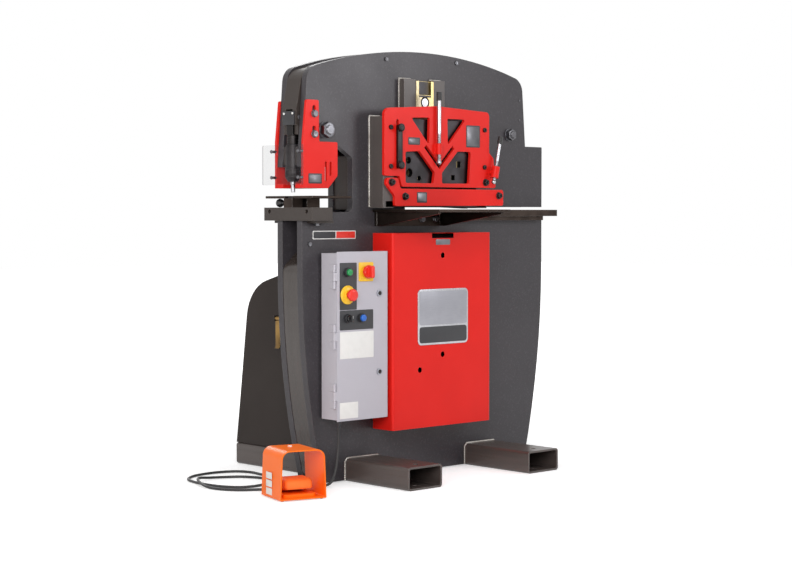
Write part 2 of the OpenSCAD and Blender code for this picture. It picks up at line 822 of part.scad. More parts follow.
module stripper_flange() {
    difference() {
        polygon(rounded([[stripper_left, stripper_z, 0], [stripper_right - 40, stripper_z, 0],
                         [stripper_right, stripper_z + 41, 6], [stripper_right, stripper_mid_z, 6],
                         [tongue_x + 28, stripper_mid_z, 4], [tongue_x + 26, stripper_top_z, 6],
                         [tongue_x - 26, stripper_top_z, 6], [stripper_left, stripper_mid_z, 6]]));
        for (p = stripper_bolts)
            upright_slot(p.x, p.y, p.y + stripper_drop, stripper_bolt_d + 2);
        upright_slot(stripper_right - 50, stripper_z + 26, stripper_z + 83, 9);
        upright_slot(stripper_right - 30, stripper_z + 44, stripper_z + 83, 9);
    }
}

module stripper() {
    fork_t = 15;
    fork_w = coupling_d + 12;
    y0 = front_y - slide_gap - stripper_t;
    y1 = back_y + slide_gap + stripper_t;
    color("#d8332a") {
        difference() {
            union() {
                along_y(y0, y0 + stripper_t) stripper_flange();
                along_y(y1 - stripper_t, y1) stripper_flange();
                block([stripper_left, y0, stripper_z], [stripper_right - 40, y1, stripper_z + fork_t]);
            }
            rod_along_z(punch_x, mid_y, stripper_z - 1, stripper_z + fork_t + 1, fork_w);
            block([stripper_left - 1, mid_y - fork_w / 2, stripper_z - 1],
                  [punch_x, mid_y + fork_w / 2, stripper_z + fork_t + 1]);
        }
    }
}

// Clear sheet across the punch, on spacers screwed to the stripper's edges
module punch_guard() {
    spacer_l = 13;
    spacer_d = 9;
    screw = 6;
    face_x = stripper_left - spacer_l;
    low_z = stripper_z + 11;
    high_z = low_z + 130;
    edges = [front_y - slide_gap - stripper_t / 2, back_y + slide_gap + stripper_t / 2];
    heights = [low_z + 24, high_z - 21];
    color("#e6eef2", 0.45) {
        difference() {
            along_x(face_x - clear_t, face_x)
                round_rect([front_y - 25, low_z], [back_y + 55, high_z], 4);
            for (y = edges, z = heights)
                rod_along_x(y, z, face_x - clear_t - 1, face_x + 1, screw + 2 * slide_gap);
        }
        for (y = edges, z = heights) {
            rod_along_x(y, z, face_x, stripper_left, spacer_d);
            rod_along_x(y, z, face_x - clear_t - 1, face_x + 1, screw);
            rod_along_x(y, z, face_x - clear_t - 4, face_x - clear_t, 2 * screw);
        }
    }
}

// Shear station

housing_left = 250;
housing_right = 246;
housing_low_z = bed_z + 5;
housing_top_z = bed_z + 311;
wall_left_w = 48;
wall_right_w = 51;
guide_d = 26;
guide_top_z = bed_z + 444;
guard_bolt_d = 9;
hold_bolt_d = 12;
guard_bolts = above_bed([[-226, 274], [-226, 144], [222, 278], [222, 148]]);
lobe_bolts = above_bed([[-222, 91], [228, 95]]);
hold_bolts = above_bed([[-160, 44], [295, 49]]);
wall_bolt_l = guard_t + 25;
plate_bolt_d = 8;
plate_bolts = above_bed([[-173, 507], [161, 513], [32 - frame_left, -113]]);

// Side walls of the housing and the two guide bars of the slider
module shear_housing() {
    color("#45413f") {
        difference() {
            union() {
                block([-housing_left, guard_y, housing_low_z], [wall_left_w - housing_left, front_y, housing_top_z]);
                block([housing_right - wall_right_w, guard_y, housing_low_z], [housing_right, front_y, housing_top_z]);
            }
            for (p = guard_bolts)
                rod_along_y(p.x, p.y, guard_y - 1, guard_y + 26, guard_bolt_d + 2 * bolt_gap);
            for (p = lobe_bolts)
                rod_along_y(p.x, p.y, guard_y - 1, guard_y + 26, hold_bolt_d + 2 * bolt_gap);
        }
        for (side = [-1, 1]) {
            inner = slide_x + side * (slider_w / 2 + slide_gap);
            outer = inner + side * guide_w;
            block([min(inner, outer), front_y - guide_d, housing_top_z - 60],
                  [max(inner, outer), front_y, guide_top_z]);
        }
    }
}

// The bent strip that an angle bar fills in the vee
module vee_strip(w) {
    rise = w * sqrt(2);
    in = w / sqrt(2);
    translate([angle_x, vee_z])
        polygon([[0, 0], [vee_half, vee_half], [vee_half - in, vee_half + in], [0, rise],
                 [in - vee_half, vee_half + in], [-vee_half, vee_half]]);
}

fixed_front_y = guard_y + 5;
fixed_back_y = guard_y + 22;

// Blade plate with the vee and the bar holes
module blade_plate(low, high, room) {
    bar_holes = [[-128, 166, 24], [-124, 124, 30], [-78, 106, 18]];
    square_holes = [[110, 156, 22], [84, 110, 18]];
    left = wall_left_w - housing_left + room;
    difference() {
        translate([left, bed_z + low]) square([housing_right - wall_right_w - room - left, high - low]);
        vee_strip(vee_w);
        for (h = bar_holes) translate([h.x, bed_z + h.y]) circle(d = h.z);
        for (h = square_holes) translate([h.x, bed_z + h.y]) square(h.z, center = true);
    }
}

// Fixed blades: the plate in the housing, and the lower bar blade on the bed
module fixed_blades() {
    color("#5a5c60") {
        along_y(fixed_front_y, fixed_back_y) blade_plate(79, 306, 0);
        block([blade_left, in_front_y, bed_z - blade_h], [blade_right, in_front_y + blade_t, bed_z]);
    }
}

// Zinc slider between the guide bars, with the moving blades on its front
module shear_slider() {
    half = slider_w / 2;
    low_z = vee_z + vee_half + 13;
    top_z = guide_top_z - 5;
    blade_y0 = fixed_back_y + slide_gap;
    slider_y0 = front_y - slide_gap - slider_t;
    color("#b7a877")
    difference() {
        union() {
            along_y(slider_y0, slider_y0 + slider_t)
                polygon([[slide_x - half, low_z], [slide_x + half, low_z], [slide_x + half, top_z],
                         [slide_x - half, top_z]]);
            along_y(blade_y0, slider_y0 + 1) blade_plate(100, 290, 3);
        }
        rod_along_y(slide_x, drive_z, slider_y0 - 1, front_y, drive_d + 2 * drive_room);
        block([slide_x - half + 12, slider_y0 - 1, drive_z + 26], [slide_x + half - 12, slider_y0 + 12, top_z + 1]);
    }
}

clamp_x = -12;
clamp_y = guard_front_y - 12;
nut_low_z = bed_z + 187;
nut_h = 38;
nut_d = 21;
lever_y = guard_front_y - 20;
lever_pin_d = 16;
stud_d = 10;
stud_x = -194;
stud_z = [bed_z + 273, bed_z + 148];
stud_slot = 12;
stud_down = 6;
stud_up = 22;

module shear_guard() {
    color("#dc3a2e")
    difference() {
        union() {
            along_y(guard_front_y, guard_y)
                difference() {
                    head_shape([[-254, 337, 24], [-11, 352, 0], [246, 340, 16], [246, 198, 12],
                                [268, 181, 14], [280, 76, 8], [-172, 76, 8], [-186, 112, 8],
                                [-254, 112, 8]]);
                    head_shape([[-132, 309, 5], [-44, 312, 5], [-47, 218, 5]]);
                    head_shape([[40, 311, 5], [130, 311, 5], [42, 218, 5]]);
                    vee_strip(vee_w + 3);
                    head_shape([[-158, 194, 8], [-92, 197, 8], [-20, 126, 10], [-26, 89, 6], [-157, 89, 6]]);
                    head_shape([[155, 200, 8], [90, 200, 8], [14, 126, 10], [14, 89, 6], [147, 90, 6]]);
                    for (z = stud_z) upright_slot(stud_x, z - stud_down, z + stud_up, stud_slot);
                    for (p = guard_bolts) translate(p) circle(d = guard_bolt_d + 2 * bolt_gap);
                    translate(lobe_bolts[1]) circle(d = hold_bolt_d + 2 * bolt_gap);
                    translate([lever_x, lever_z]) circle(d = lever_pin_d + 2 * run_gap);
                }
            rod_along_z(clamp_x, clamp_y, nut_low_z, nut_low_z + nut_h, nut_d);
            block([clamp_x - 8, clamp_y, nut_low_z], [clamp_x + 8, guard_front_y + 1, nut_low_z + nut_h]);
        }
        rod_along_z(clamp_x, clamp_y, nut_low_z - 1, nut_low_z + nut_h + 1, screw_d + 2 * run_gap);
    }
}

// Red bar across the flat-bar mouth, bolted to the housing and to the plate
module bar_hold_down() {
    color("#d8332a")
    along_y(guard_front_y, guard_y)
        difference() {
            head_shape([[-206, 11, 6], [319, 14, 8], [319, 70, 10], [-180, 70, 10], [-192, 106, 10],
                        [-245, 106, 12], [-245, 84, 10], [-206, 44, 10]]);
            for (p = concat([lobe_bolts[0]], hold_bolts)) translate(p) circle(d = hold_bolt_d + 2 * bolt_gap);
        }
}

// Hexagon bolts of the guard, hold-down, stripper, plates and table flange
module machine_bolts() {
    sleeve_d = 26;
    color("#8d9096") {
        for (p = guard_bolts) front_bolt(p.x, p.y, guard_front_y, guard_bolt_d, wall_bolt_l);
        for (p = lobe_bolts) front_bolt(p.x, p.y, guard_front_y, hold_bolt_d, wall_bolt_l);
        for (p = hold_bolts) {
            front_bolt(p.x, p.y, guard_front_y, hold_bolt_d, guard_t + 1);
            rod_along_y(p.x, p.y, guard_y, front_y, sleeve_d);
        }
        for (p = stripper_bolts) {
            front_bolt(p.x, p.y, front_y - stripper_t - 2 * slide_gap, stripper_bolt_d, stripper_t + 18);
            translate([0, front_y + back_y, 0]) mirror([0, 1, 0])
                front_bolt(p.x, p.y, front_y - stripper_t - 2 * slide_gap, stripper_bolt_d, stripper_t + 18);
        }
        for (p = plate_bolts) front_bolt(p.x, p.y, front_y, plate_bolt_d, 18);
        for (x = flange_bolts) front_bolt(x, flange_bolt_z, front_y - flange_t, hold_bolt_d, 0);
        for (y = [front_y - 15, back_y + 15])
            translate([bolster_right - 28, y, bolster_z - ledge_t - 9]) cylinder(d = 22, h = 9, $fn = 6);
    }
}

// Hold-downs

grip_l = 30;

module angle_clamp_screw() {
    low_z = vee_z + 27;
    top_z = bed_z + 370;
    color("#b9bcc0") {
        rod_along_z(clamp_x, clamp_y, low_z, top_z, screw_d);
        rod_along_z(clamp_x, clamp_y, top_z, top_z + grip_l, grip_d);
    }
}

module angle_clamp_pad() {
    low_z = vee_z + 15;
    color("#c9ccd0")
    translate([clamp_x, clamp_y, 0]) {
        translate([0, 0, low_z + 6]) cylinder(d = screw_d + 2, h = 6 - slide_gap);
        translate([0, 0, low_z]) cylinder(d1 = 6, d2 = screw_d + 2, h = 6);
    }
}

// The right hold-down is drawn upright about its swivel, then leant
module lean_right() {
    translate([lever_x, lever_y, lever_z]) rotate([0, lever_deg, 0]) children();
}

collar_h = 40;
lever_screw_d = screw_d - 2;

module bar_clamp_collar() {
    color("#d8332a")
    difference() {
        union() {
            lean_right() translate([0, 0, -collar_h / 2]) cylinder(d = 28, h = collar_h);
            rod_along_y(lever_x, lever_z, lever_y, guard_y, lever_pin_d);
        }
        lean_right() translate([0, 0, -collar_h]) cylinder(d = lever_screw_d + 2 * run_gap, h = 2 * collar_h);
    }
}

module bar_clamp_screw() {
    color("#b9bcc0")
    lean_right() {
        translate([0, 0, -collar_h / 2 - 8]) cylinder(d = lever_screw_d, h = 130);
        translate([0, 0, 122 - collar_h / 2]) cylinder(d = grip_d, h = grip_l - 3);
    }
}

module bar_clamp_tip() {
    color("#d5d8dc")
    lean_right()
        intersection() {
            translate([0, 0, -collar_h / 2 - 15]) sphere(d = 16);
            translate([0, 0, -collar_h / 2 - 28 - slide_gap]) cylinder(d = 30, h = 20);
        }
}

// Black bar on two knobbed studs that slide in the guard's slots
module rod_clamp_bar() {
    bar_t = 11;
    knob_t = 13;
    y1 = guard_front_y - slide_gap;
    y0 = y1 - bar_t;
    color("#232325") {
        block([stud_x - 7, y0, stud_z[1] - 9], [stud_x + 14, y1, stud_z[0] + 9]);
        for (z = stud_z) {
            rod_along_y(stud_x, z, y0 - knob_t, y0, 27);
            rod_along_y(stud_x, z, y1 - 1, guard_y, stud_d);
        }
    }
}

// Bar table

flange_t = 10;
flange_h = 47;
flange_bolts = [45 - table_left, 120 - table_left, table_l - table_left - 110, table_l - table_left - 45];
flange_bolt_z = table_z - flange_h / 2;

module bar_table() {
    color("#5b5552")
    translate([0, 0, table_z])
        linear_extrude(table_t)
            round_rect([-table_left, front_y - table_d], [table_l - table_left, front_y], 3);
}

// Bed bar and step bar along the plate, and the flange with two gussets under the table
module table_supports() {
    right = table_l - table_left;
    flange_z = table_z - flange_h;
    gusset_d = table_d - 20;
    color("#3a3735") {
        block([right + 1, front_y - 45, bed_z - 23], [bed_bar_right, front_y, bed_z]);
        block([right + 4, front_y - 30, bed_z - 38], [frame_right - 24, front_y, bed_z - 23]);
        block([10 - table_left, front_y - flange_t, flange_z], [right - 10, front_y, table_z]);
        for (x = [14 - table_left, right - 24])
            along_x(x, x + 10)
                polygon([[front_y - flange_t, table_z], [front_y - gusset_d, table_z],
                         [front_y - gusset_d, table_z - 6], [front_y - flange_t - 20, flange_z],
                         [front_y - flange_t, flange_z]]);
    }
}

// Covers

notch_half = 52;
notch_h = 18;
cover_holes = [[0, cover_h - 77], [0, 245], [-108, 197]];
cover_hole_d = 19;

// Red sheet cover over the cylinder, open at the back
module front_cover() {
    top = cover_z + cover_h;
    front = front_y - cover_d;
    in_half = cover_half - sheet_t;
    color("#d8332a")
    difference() {
        translate([0, 0, cover_z])
            linear_extrude(cover_h)
                polygon(rounded([[-cover_half, front_y, 0], [-cover_half, front, 8], [cover_half, front, 8],
                                 [cover_half, front_y, 0]]));
        translate([0, 0, cover_z + sheet_t])
            linear_extrude(cover_h - 2 * sheet_t)
                polygon(rounded([[-in_half, front_y + 1, 0], [-in_half, front + sheet_t, 5],
                                 [in_half, front + sheet_t, 5], [in_half, front_y + 1, 0]]));
        block([-notch_half, front - 1, top - notch_h], [notch_half, front + 40, top + 1]);
        for (h = cover_holes) rod_along_y(h.x, cover_z + h.y, front - 1, front + sheet_t + 1, cover_hole_d);
    }
}

hood_z = tube_h + fit_gap;
hood_y = back_y + slide_gap;
latch_y = hood_y + 215;
latch_z = 530;
latch_pin_d = 8;
latch_w = 24;
ear_t = 5;
latch_out = 8;

function hood_outline(inset) =
    let (out = hood_y + hood_d)
    [[hood_y - (inset > 0 ? 1 : 0), hood_z - (inset > 0 ? 1 : 0), 0],
     [out - inset, hood_z - (inset > 0 ? 1 : 0), 0],
     [out - hood_lean - inset, hood_h - hood_fall - inset, hood_r - inset],
     [hood_y - (inset > 0 ? 1 : 0), hood_h - inset, 0]];

// Sheet cover over the power unit, open at the plate and at the floor, with ears for its latch
module rear_cover() {
    vent_w = 150;
    color("#403a37")
    difference() {
        union() {
            difference() {
                along_x(-hood_half, hood_half) polygon(rounded(hood_outline(0)));
                along_x(sheet_t - hood_half, hood_half - sheet_t) polygon(rounded(hood_outline(sheet_t)));
                for (i = [0 : 5], side = [-1, 1])
                    block([side * 160 - vent_w / 2, hood_y + hood_d - 80, 330 + 24 * i],
                          [side * 160 + vent_w / 2, hood_y + hood_d + 1, 338 + 24 * i]);
            }
            for (side = [-1, 1]) {
                y = latch_y + side * (latch_w / 2 + ear_t / 2 + slide_gap);
                block([-hood_half - latch_out - 7, y - ear_t / 2, latch_z - 9],
                      [-hood_half, y + ear_t / 2, latch_z + 9]);
            }
        }
        rod_along_y(-hood_half - latch_out, latch_z, latch_y - latch_w, latch_y + latch_w, latch_pin_d);
    }
}

// Lever of the cover's latch, with its pin
module cover_latch() {
    pin_half = latch_w / 2 + ear_t + slide_gap;
    color("#2c2a2a") {
        block([-hood_half - latch_out - 3, latch_y - latch_w / 2, latch_z - 105],
              [-hood_half - latch_out + 3, latch_y + latch_w / 2, latch_z]);
        rod_along_y(-hood_half - latch_out, latch_z, latch_y - latch_w / 2, latch_y + latch_w / 2, 13);
        rod_along_y(-hood_half - latch_out, latch_z, latch_y - pin_half, latch_y + pin_half, latch_pin_d - 2 * run_gap);
    }
}

// Power unit under the rear cover

tank_z = tube_h;
tank_h = 190;
tank_half = 325;
tank_y0 = back_y + 60;
tank_y1 = back_y + 390;
motor_d = 180;
motor_y = (tank_y0 + tank_y1) / 2;
motor_z = tank_z + tank_h + motor_d / 2 + 12;
motor_x0 = -60;
motor_x1 = 250;
pump_w = 110;
port_z = barrel_z + 40;
port_d = 34;
port_y = mid_y + cyl_d / 2 + 6;

module reservoir() {
    color("#2f3133") {
        difference() {
            block([-tank_half, tank_y0, tank_z], [tank_half, tank_y1, tank_z + tank_h]);
            block([sheet_t - tank_half, tank_y0 + sheet_t, tank_z + sheet_t],
                  [tank_half - sheet_t, tank_y1 - sheet_t, tank_z + tank_h - sheet_t]);
        }
        rod_along_z(-tank_half + 60, tank_y1 - 60, tank_z + tank_h, tank_z + tank_h + 35, 60);
    }
}

module motor() {
    color("#5d6166") {
        rod_along_x(motor_y, motor_z, motor_x0, motor_x1, motor_d);
        rod_along_x(motor_y, motor_z, motor_x1, motor_x1 + 60, motor_d - 14);
        for (x = [motor_x0 + 50, motor_x1 - 70])
            block([x, motor_y - 80, tank_z + tank_h], [x + 24, motor_y + 80, motor_z - motor_d / 2 + 40]);
        block([motor_x0 + 90, motor_y - 55, motor_z + motor_d / 2 - 20],
              [motor_x0 + 200, motor_y + 55, motor_z + motor_d / 2 + 45]);
    }
}

module pump_block() {
    color("#7b7f84") {
        block([motor_x0 - pump_w, motor_y - pump_w / 2, tank_z + tank_h], [motor_x0, motor_y + pump_w / 2, motor_z + 60]);
        rod_along_x(motor_y, motor_z + 30, motor_x0 - pump_w - 70, motor_x0 - pump_w, 46);
    }
}

// A tube swept along points, closed at both ends

function spline(a, b, c, d, t) =
    0.5 * (2 * b + (c - a) * t + (2 * a - 5 * b + 4 * c - d) * t * t + (3 * b - a - 3 * c + d) * t * t * t);
function smooth(p, steps) =
    let (n = len(p) - 1)
    concat([for (i = [0 : n - 1], k = [0 : steps - 1])
        spline(p[max(i - 1, 0)], p[i], p[i + 1], p[min(i + 2, n)], k / steps)], [p[n]]);
function tangents(p) =
    let (n = len(p) - 1)
    [for (i = [0 : n]) unit(p[min(i + 1, n)] - p[max(i - 1, 0)])];
// Side vectors carried along the path without twist
function sides(t, first) =
    [for (i = 0, u = unit(first - (first * t[0]) * t[0]); i < len(t);
          i = i + 1, u = i < len(t) ? unit(u - (u * t[i]) * t[i]) : u) u];

module swept_tube(path, d, sides_n, first) {
    t = tangents(path);
    u = sides(t, first);
    rings = len(path);
    points = [for (i = [0 : rings - 1], k = [0 : sides_n - 1])
        let (a = 360 * k / sides_n) path[i] + d / 2 * (cos(a) * u[i] + sin(a) * cross(t[i], u[i]))];
    walls = [for (i = [0 : rings - 2], k = [0 : sides_n - 1], half = [0, 1])
        let (a = i * sides_n + k, b = i * sides_n + (k + 1) % sides_n)
        half == 0 ? [a, a + sides_n, b] : [b, a + sides_n, b + sides_n]];
    ends = [for (k = [1 : sides_n - 2], half = [0, 1])
        let (last = (rings - 1) * sides_n)
        half == 0 ? [0, k, k + 1] : [last, last + k + 1, last + k]];
    polyhedron(points, concat(walls, ends));
}

hose_d = 24;
// Clearance at the ends of the hose and of the cord
end_gap = 0.4;

// Pressure hose from the pump to the barrel's port
module pressure_hose() {
    from = [motor_x0 - pump_w / 2, motor_y - pump_w / 2 - end_gap, motor_z - 30];
    to = [rod_x, port_y + end_gap, port_z];
    route = [from, from - [0, 12, 0], from - [0, 30, 0], (from + to) / 2 + [0, 0, 10], to + [0, 40, 0],
             to + [0, 15, 0], to];
    color("#1d1d1f") swept_tube(smooth(route, 6), hose_d, 10, [1, 0, 0]);
}

// Control box

hinge_x = -box_left - 6;
hinge_y = box_front_y + 3;
hinge_h = 80;
hinge_z = [box_z + 38, box_z + (box_h - hinge_h) / 2, box_z + box_h - hinge_h - 36];
knuckle_d = 9;
hinge_pin_d = 5;
knuckle_h = 26;

module control_box() {
    low = [-box_left, box_front_y, box_z];
    high = [box_right, box_back_y, box_z + box_h];
    wall = [box_wall, box_wall, box_wall];
    color("#b9b7bd")
    difference() {
        union() {
            difference() {
                block(low, high);
                block(low + [box_wall, -1, box_wall], high - wall);
            }
            for (x = [-box_left + 25, box_right - 25], z = [box_z + 30, box_z + box_h - 30])
                rod_along_y(x, z, box_back_y - box_wall, front_y, 18);
        }
        rod_along_z(gland_x, gland_y, box_z - 1, box_z + box_wall + 1, gland_neck_d + 2 * bolt_gap);
    }
}

// Mounting panel with contactor, transformer and terminal strip
module control_gear() {
    y1 = box_back_y - box_wall;
    y0 = y1 - 2;
    mid = (box_right - box_left) / 2;
    color("#e2e2de") {
        block([mid - 88, y0, box_z + 0.2 * box_h], [mid + 88, y1, box_z + box_h - 30]);
        block([mid - 70, y0 - 34, box_z + 0.55 * box_h], [mid - 20, y0, box_z + 0.7 * box_h]);
        block([mid + 5, y0 - 34, box_z + 0.55 * box_h], [mid + 75, y0, box_z + 0.68 * box_h]);
        block([mid - 75, y0 - 26, box_z + 0.29 * box_h], [mid + 75, y0, box_z + 0.36 * box_h]);
    }
}

// Fixed hinge halves: leaf, end knuckles and pin
module door_hinges() {
    pin_gap = 1;
    color("#2a2a2c")
    for (z = hinge_z) {
        rod_along_z(hinge_x, hinge_y, z, z + hinge_h, hinge_pin_d);
        for (low = [z, z + hinge_h - knuckle_h + pin_gap]) {
            rod_along_z(hinge_x, hinge_y, low, low + knuckle_h - pin_gap, knuckle_d);
            block([hinge_x, hinge_y, low], [-box_left, hinge_y + 4, low + knuckle_h - pin_gap]);
        }
        block([-box_left - 2, hinge_y, z], [-box_left, hinge_y + 30, z + knuckle_h - pin_gap]);
        block([-box_left - 2, hinge_y, z + hinge_h - knuckle_h + pin_gap], [-box_left, hinge_y + 30, z + hinge_h]);
    }
}

door_left = -box_left + 1;
door_right = box_right + 2;
door_low_z = box_z - 5;
door_top_z = box_z + box_h + 5;
rim_d = 10;
button_x = -box_left + 46;
button_d = 22;
small_hole = 16;
latch_x = box_right - 36;
latch_core_d = 12;
latches = [box_z + box_h - 134, box_z + 0.274 * box_h];
green_z = box_z + box_h - 62;
stop_z = box_z + box_h - 136;
selector_z = box_z + box_h - 213;
blue_x = button_x + 60;
disconnect_x = button_x + 80;
disconnect_w = 63;
// Every operator on the door: x, z
operators = [[button_x, green_z], [button_x, stop_z], [button_x, selector_z], [blue_x, selector_z],
             [disconnect_x, green_z]];

module control_door() {
    rim_y = door_y + door_t + rim_d;
    color("#bfbdc3")
    difference() {
        union() {
            block([door_left, door_y, door_low_z], [door_right, door_y + door_t, door_top_z]);
            block([door_left + 12, door_y, door_low_z], [door_right, rim_y, door_low_z + 2]);
            block([door_left + 12, door_y, door_top_z - 2], [door_right, rim_y, door_top_z]);
            block([door_right - 1.5, door_y, door_low_z], [door_right, rim_y, door_top_z]);
            for (z = hinge_z) {
                low = z + knuckle_h;
                high = z + hinge_h - knuckle_h;
                rod_along_z(hinge_x, hinge_y, low, high, knuckle_d);
                block([hinge_x, door_y, low], [door_left + 1, door_y + door_t, high]);
                block([hinge_x - 2, door_y, low], [hinge_x + 2, hinge_y - 2, high]);
            }
        }
        for (z = hinge_z) rod_along_z(hinge_x, hinge_y, z, z + hinge_h, hinge_pin_d + 2 * run_gap);
        for (p = operators) rod_along_y(p.x, p.y, door_y - 1, door_y + door_t + 1, small_hole + 2 * bolt_gap);
        for (z = latches) rod_along_y(latch_x, z, door_y - 1, door_y + door_t + 1, latch_core_d + 2 * run_gap);
    }
}

ring_h = 10;
ring_floor = 2;
ring_d = 30;
stop_ring_d = 62;

// A bezel that holds a button: ring with a floor, neck through the door and contact block behind it
module bezel(p, d, ring) {
    difference() {
        rod_along_y(p.x, p.y, door_y - ring, door_y, d);
        rod_along_y(p.x, p.y, door_y - ring - 1, door_y - ring_floor, button_d + 2 * slide_gap);
    }
    rod_along_y(p.x, p.y, door_y - ring_floor, door_y + door_t + 1, small_hole);
    block([p.x - 14, door_y + door_t, p.y - 18], [p.x + 14, door_y + door_t + 30, p.y + 18]);
}

module switch_bezels() {
    p = operators[4];
    half = disconnect_w / 2;
    color("#d9b52c") {
        for (i = [0, 2, 3]) bezel(operators[i], ring_d, ring_h);
        bezel(operators[1], stop_ring_d, ring_h);
        bezel(p, ring_d, 4);
        along_y(door_y - 4, door_y)
            difference() {
                round_rect([p.x - half, p.y - half], [p.x + half, p.y + half], 4);
                translate(p) circle(d = ring_d);
            }
    }
}

button_travel = 4;
button_back_y = door_y - ring_floor - button_travel - 1;

module push_button(p, cap) {
    rod_along_y(p.x, p.y, button_back_y - 8, button_back_y, button_d);
    rod_along_y(p.x, p.y, button_back_y - 8 - cap, button_back_y - 8, button_d - 3);
}

module start_button() {
    color("#1f9a4a") push_button(operators[0], 2);
}

module reset_button() {
    color("#2456b8") push_button(operators[3], 2);
}

// Emergency stop: stem in the yellow ring and a mushroom head
module stop_button() {
    p = operators[1];
    color("#d02a20") {
        rod_along_y(p.x, p.y, button_back_y - 14, button_back_y, button_d);
        translate([p.x, button_back_y - 14, p.y]) rotate([90, 0, 0]) {
            cylinder(d = 40, h = 8);
            translate([0, 0, 8]) cylinder(d1 = 40, d2 = 28, h = 5);
        }
    }
}

module selector_knob() {
    p = operators[2];
    color("#1c1c1e") {
        rod_along_y(p.x, p.y, door_y - ring_floor - 16, door_y - ring_floor - slide_gap, button_d);
        block([p.x - 4, door_y - ring_floor - 26, p.y - 10], [p.x + 4, door_y - ring_floor - 15, p.y + 10]);
    }
}

module disconnect_handle() {
    p = operators[4];
    color("#c92a22") {
        rod_along_y(p.x, p.y, door_y - 10, door_y - ring_floor - slide_gap, button_d);
        rod_along_y(p.x, p.y, door_y - 22, door_y - 10, 44);
        block([p.x - 7, door_y - 40, p.y - 20], [p.x + 7, door_y - 21, p.y + 20]);
    }
}

// Quarter-turn latch: slotted head, core through the door and cam behind it
module door_latch(z) {
    color("#8d9096") {
        difference() {
            rod_along_y(latch_x, z, door_y - slide_gap - 4, door_y - slide_gap, 22);
            block([latch_x - 8, door_y - 6, z - 1.5], [latch_x + 8, door_y - slide_gap - 2, z + 1.5]);
        }
        rod_along_y(latch_x, z, door_y - slide_gap - 1, door_y + door_t + 6, latch_core_d);
        block([latch_x - 7, door_y + door_t + slide_gap, z - 7], [latch_x + 22, door_y + door_t + 4, z + 7]);
    }
}

module upper_latch() {
    door_latch(latches[0]);
}

module lower_latch() {
    door_latch(latches[1]);
}

// Pedal and its cord

gland_x = -441;
gland_y = -200;
gland_neck_d = 16;
gland_z = 190;
pedal_base_d = 110;
pedal_base_w = 112;
pedal_base_h = 10;
plug_z = 16;
plug_l = 18;

module at_pedal() {
    translate([pedal_x, pedal_y, 0]) rotate([0, 0, pedal_yaw]) children();
}

// Cable glands: one under the control box, one at the back of the pedal's switch
module cable_glands() {
    color("#202022") {
        difference() {
            union() {
                rod_along_z(gland_x, gland_y, gland_z + 14, box_z + 10, gland_neck_d);
                translate([gland_x, gland_y, gland_z + 16])
                    cylinder(d = 26, h = box_z - gland_z - 16, $fn = 6);
                translate([gland_x, gland_y, gland_z]) cylinder(d1 = cord_d + 4, d2 = 22, h = 16);
            }
            rod_along_z(gland_x, gland_y, gland_z + 6, box_z + 11, cord_d - 2);
        }
        at_pedal() translate([0, pedal_base_d / 2, plug_z]) rotate([-90, 0, 0])
            cylinder(d1 = 18, d2 = cord_d + 4, h = plug_l);
    }
}

// Orange strap over the pedal, open in front and behind, with its floor and four feet
module pedal_guard() {
    half = pedal_w / 2;
    foot_h = 3;
    top_in = 6;
    color("#f26a21")
    at_pedal() {
        along_y(-pedal_d / 2, pedal_d / 2)
            difference() {
                polygon(rounded([[-half, foot_h, 2], [half, foot_h, 2], [half - top_in, pedal_h, 28],
                                 [top_in - half, pedal_h, 28]]));
                polygon(rounded([[pedal_t - half, foot_h + pedal_t, 2], [half - pedal_t, foot_h + pedal_t, 2],
                                 [half - pedal_t - top_in, pedal_h - pedal_t, 24],
                                 [top_in + pedal_t - half, pedal_h - pedal_t, 24]]));
            }
        for (x = [12 - half, half - 12], y = [12 - pedal_d / 2, pedal_d / 2 - 12])
            rod_along_z(x, y, 0, foot_h, 10);
        rod_along_z(0, 30, pedal_h, pedal_h + 5, 12);
    }
}

lug_t = 8;
lug_x = pedal_base_w / 2 - lug_t;
tread_y = pedal_base_d / 2 - 18;
tread_pin_d = 8;
base_floor_z = 3 + pedal_t;
tread_z = base_floor_z + pedal_base_h + 8;
tread_deg = 6;
tread_top_z = 66;

// Switch base with lugs and the treadle's pin
module pedal_base() {
    top_z = base_floor_z + pedal_base_h;
    color("#e2531d")
    at_pedal() {
        translate([0, 0, base_floor_z])
            linear_extrude(pedal_base_h)
                round_rect([-pedal_base_w / 2, -pedal_base_d / 2], [pedal_base_w / 2, pedal_base_d / 2], 16);
        for (side = [-1, 1]) {
            x0 = side > 0 ? lug_x : -lug_x - lug_t;
            block([x0, tread_y - 8, top_z - 1], [x0 + lug_t, tread_y + 8, tread_z + 8]);
        }
        block([-22, tread_y + 10, top_z - 1], [22, pedal_base_d / 2, plug_z + 13]);
        rod_along_x(tread_y, tread_z, -lug_x - 1, lug_x + 1, tread_pin_d);
    }
}

// Treadle block that tips forward about the pin
module treadle() {
    half = lug_x - 1;
    front = 6 - pedal_base_d / 2;
    lift = (tread_y - front) * tan(tread_deg) + 1.5;
    low = base_floor_z + pedal_base_h + 1;
    color("#d9431c")
    at_pedal()
        difference() {
            along_x(-half, half)
                polygon(rounded([[tread_y - 7, low + 0.5, 0], [tread_y + 7, low + 1.5, 2],
                                 [tread_y + 7, tread_top_z - 8, 7], [tread_y - 22, tread_top_z, 12],
                                 [front + 3, tread_top_z - 5, 12], [front, low + lift, 3]]));
            rod_along_x(tread_y, tread_z, -half - 1, half + 1, tread_pin_d + 2 * run_gap);
        }
}

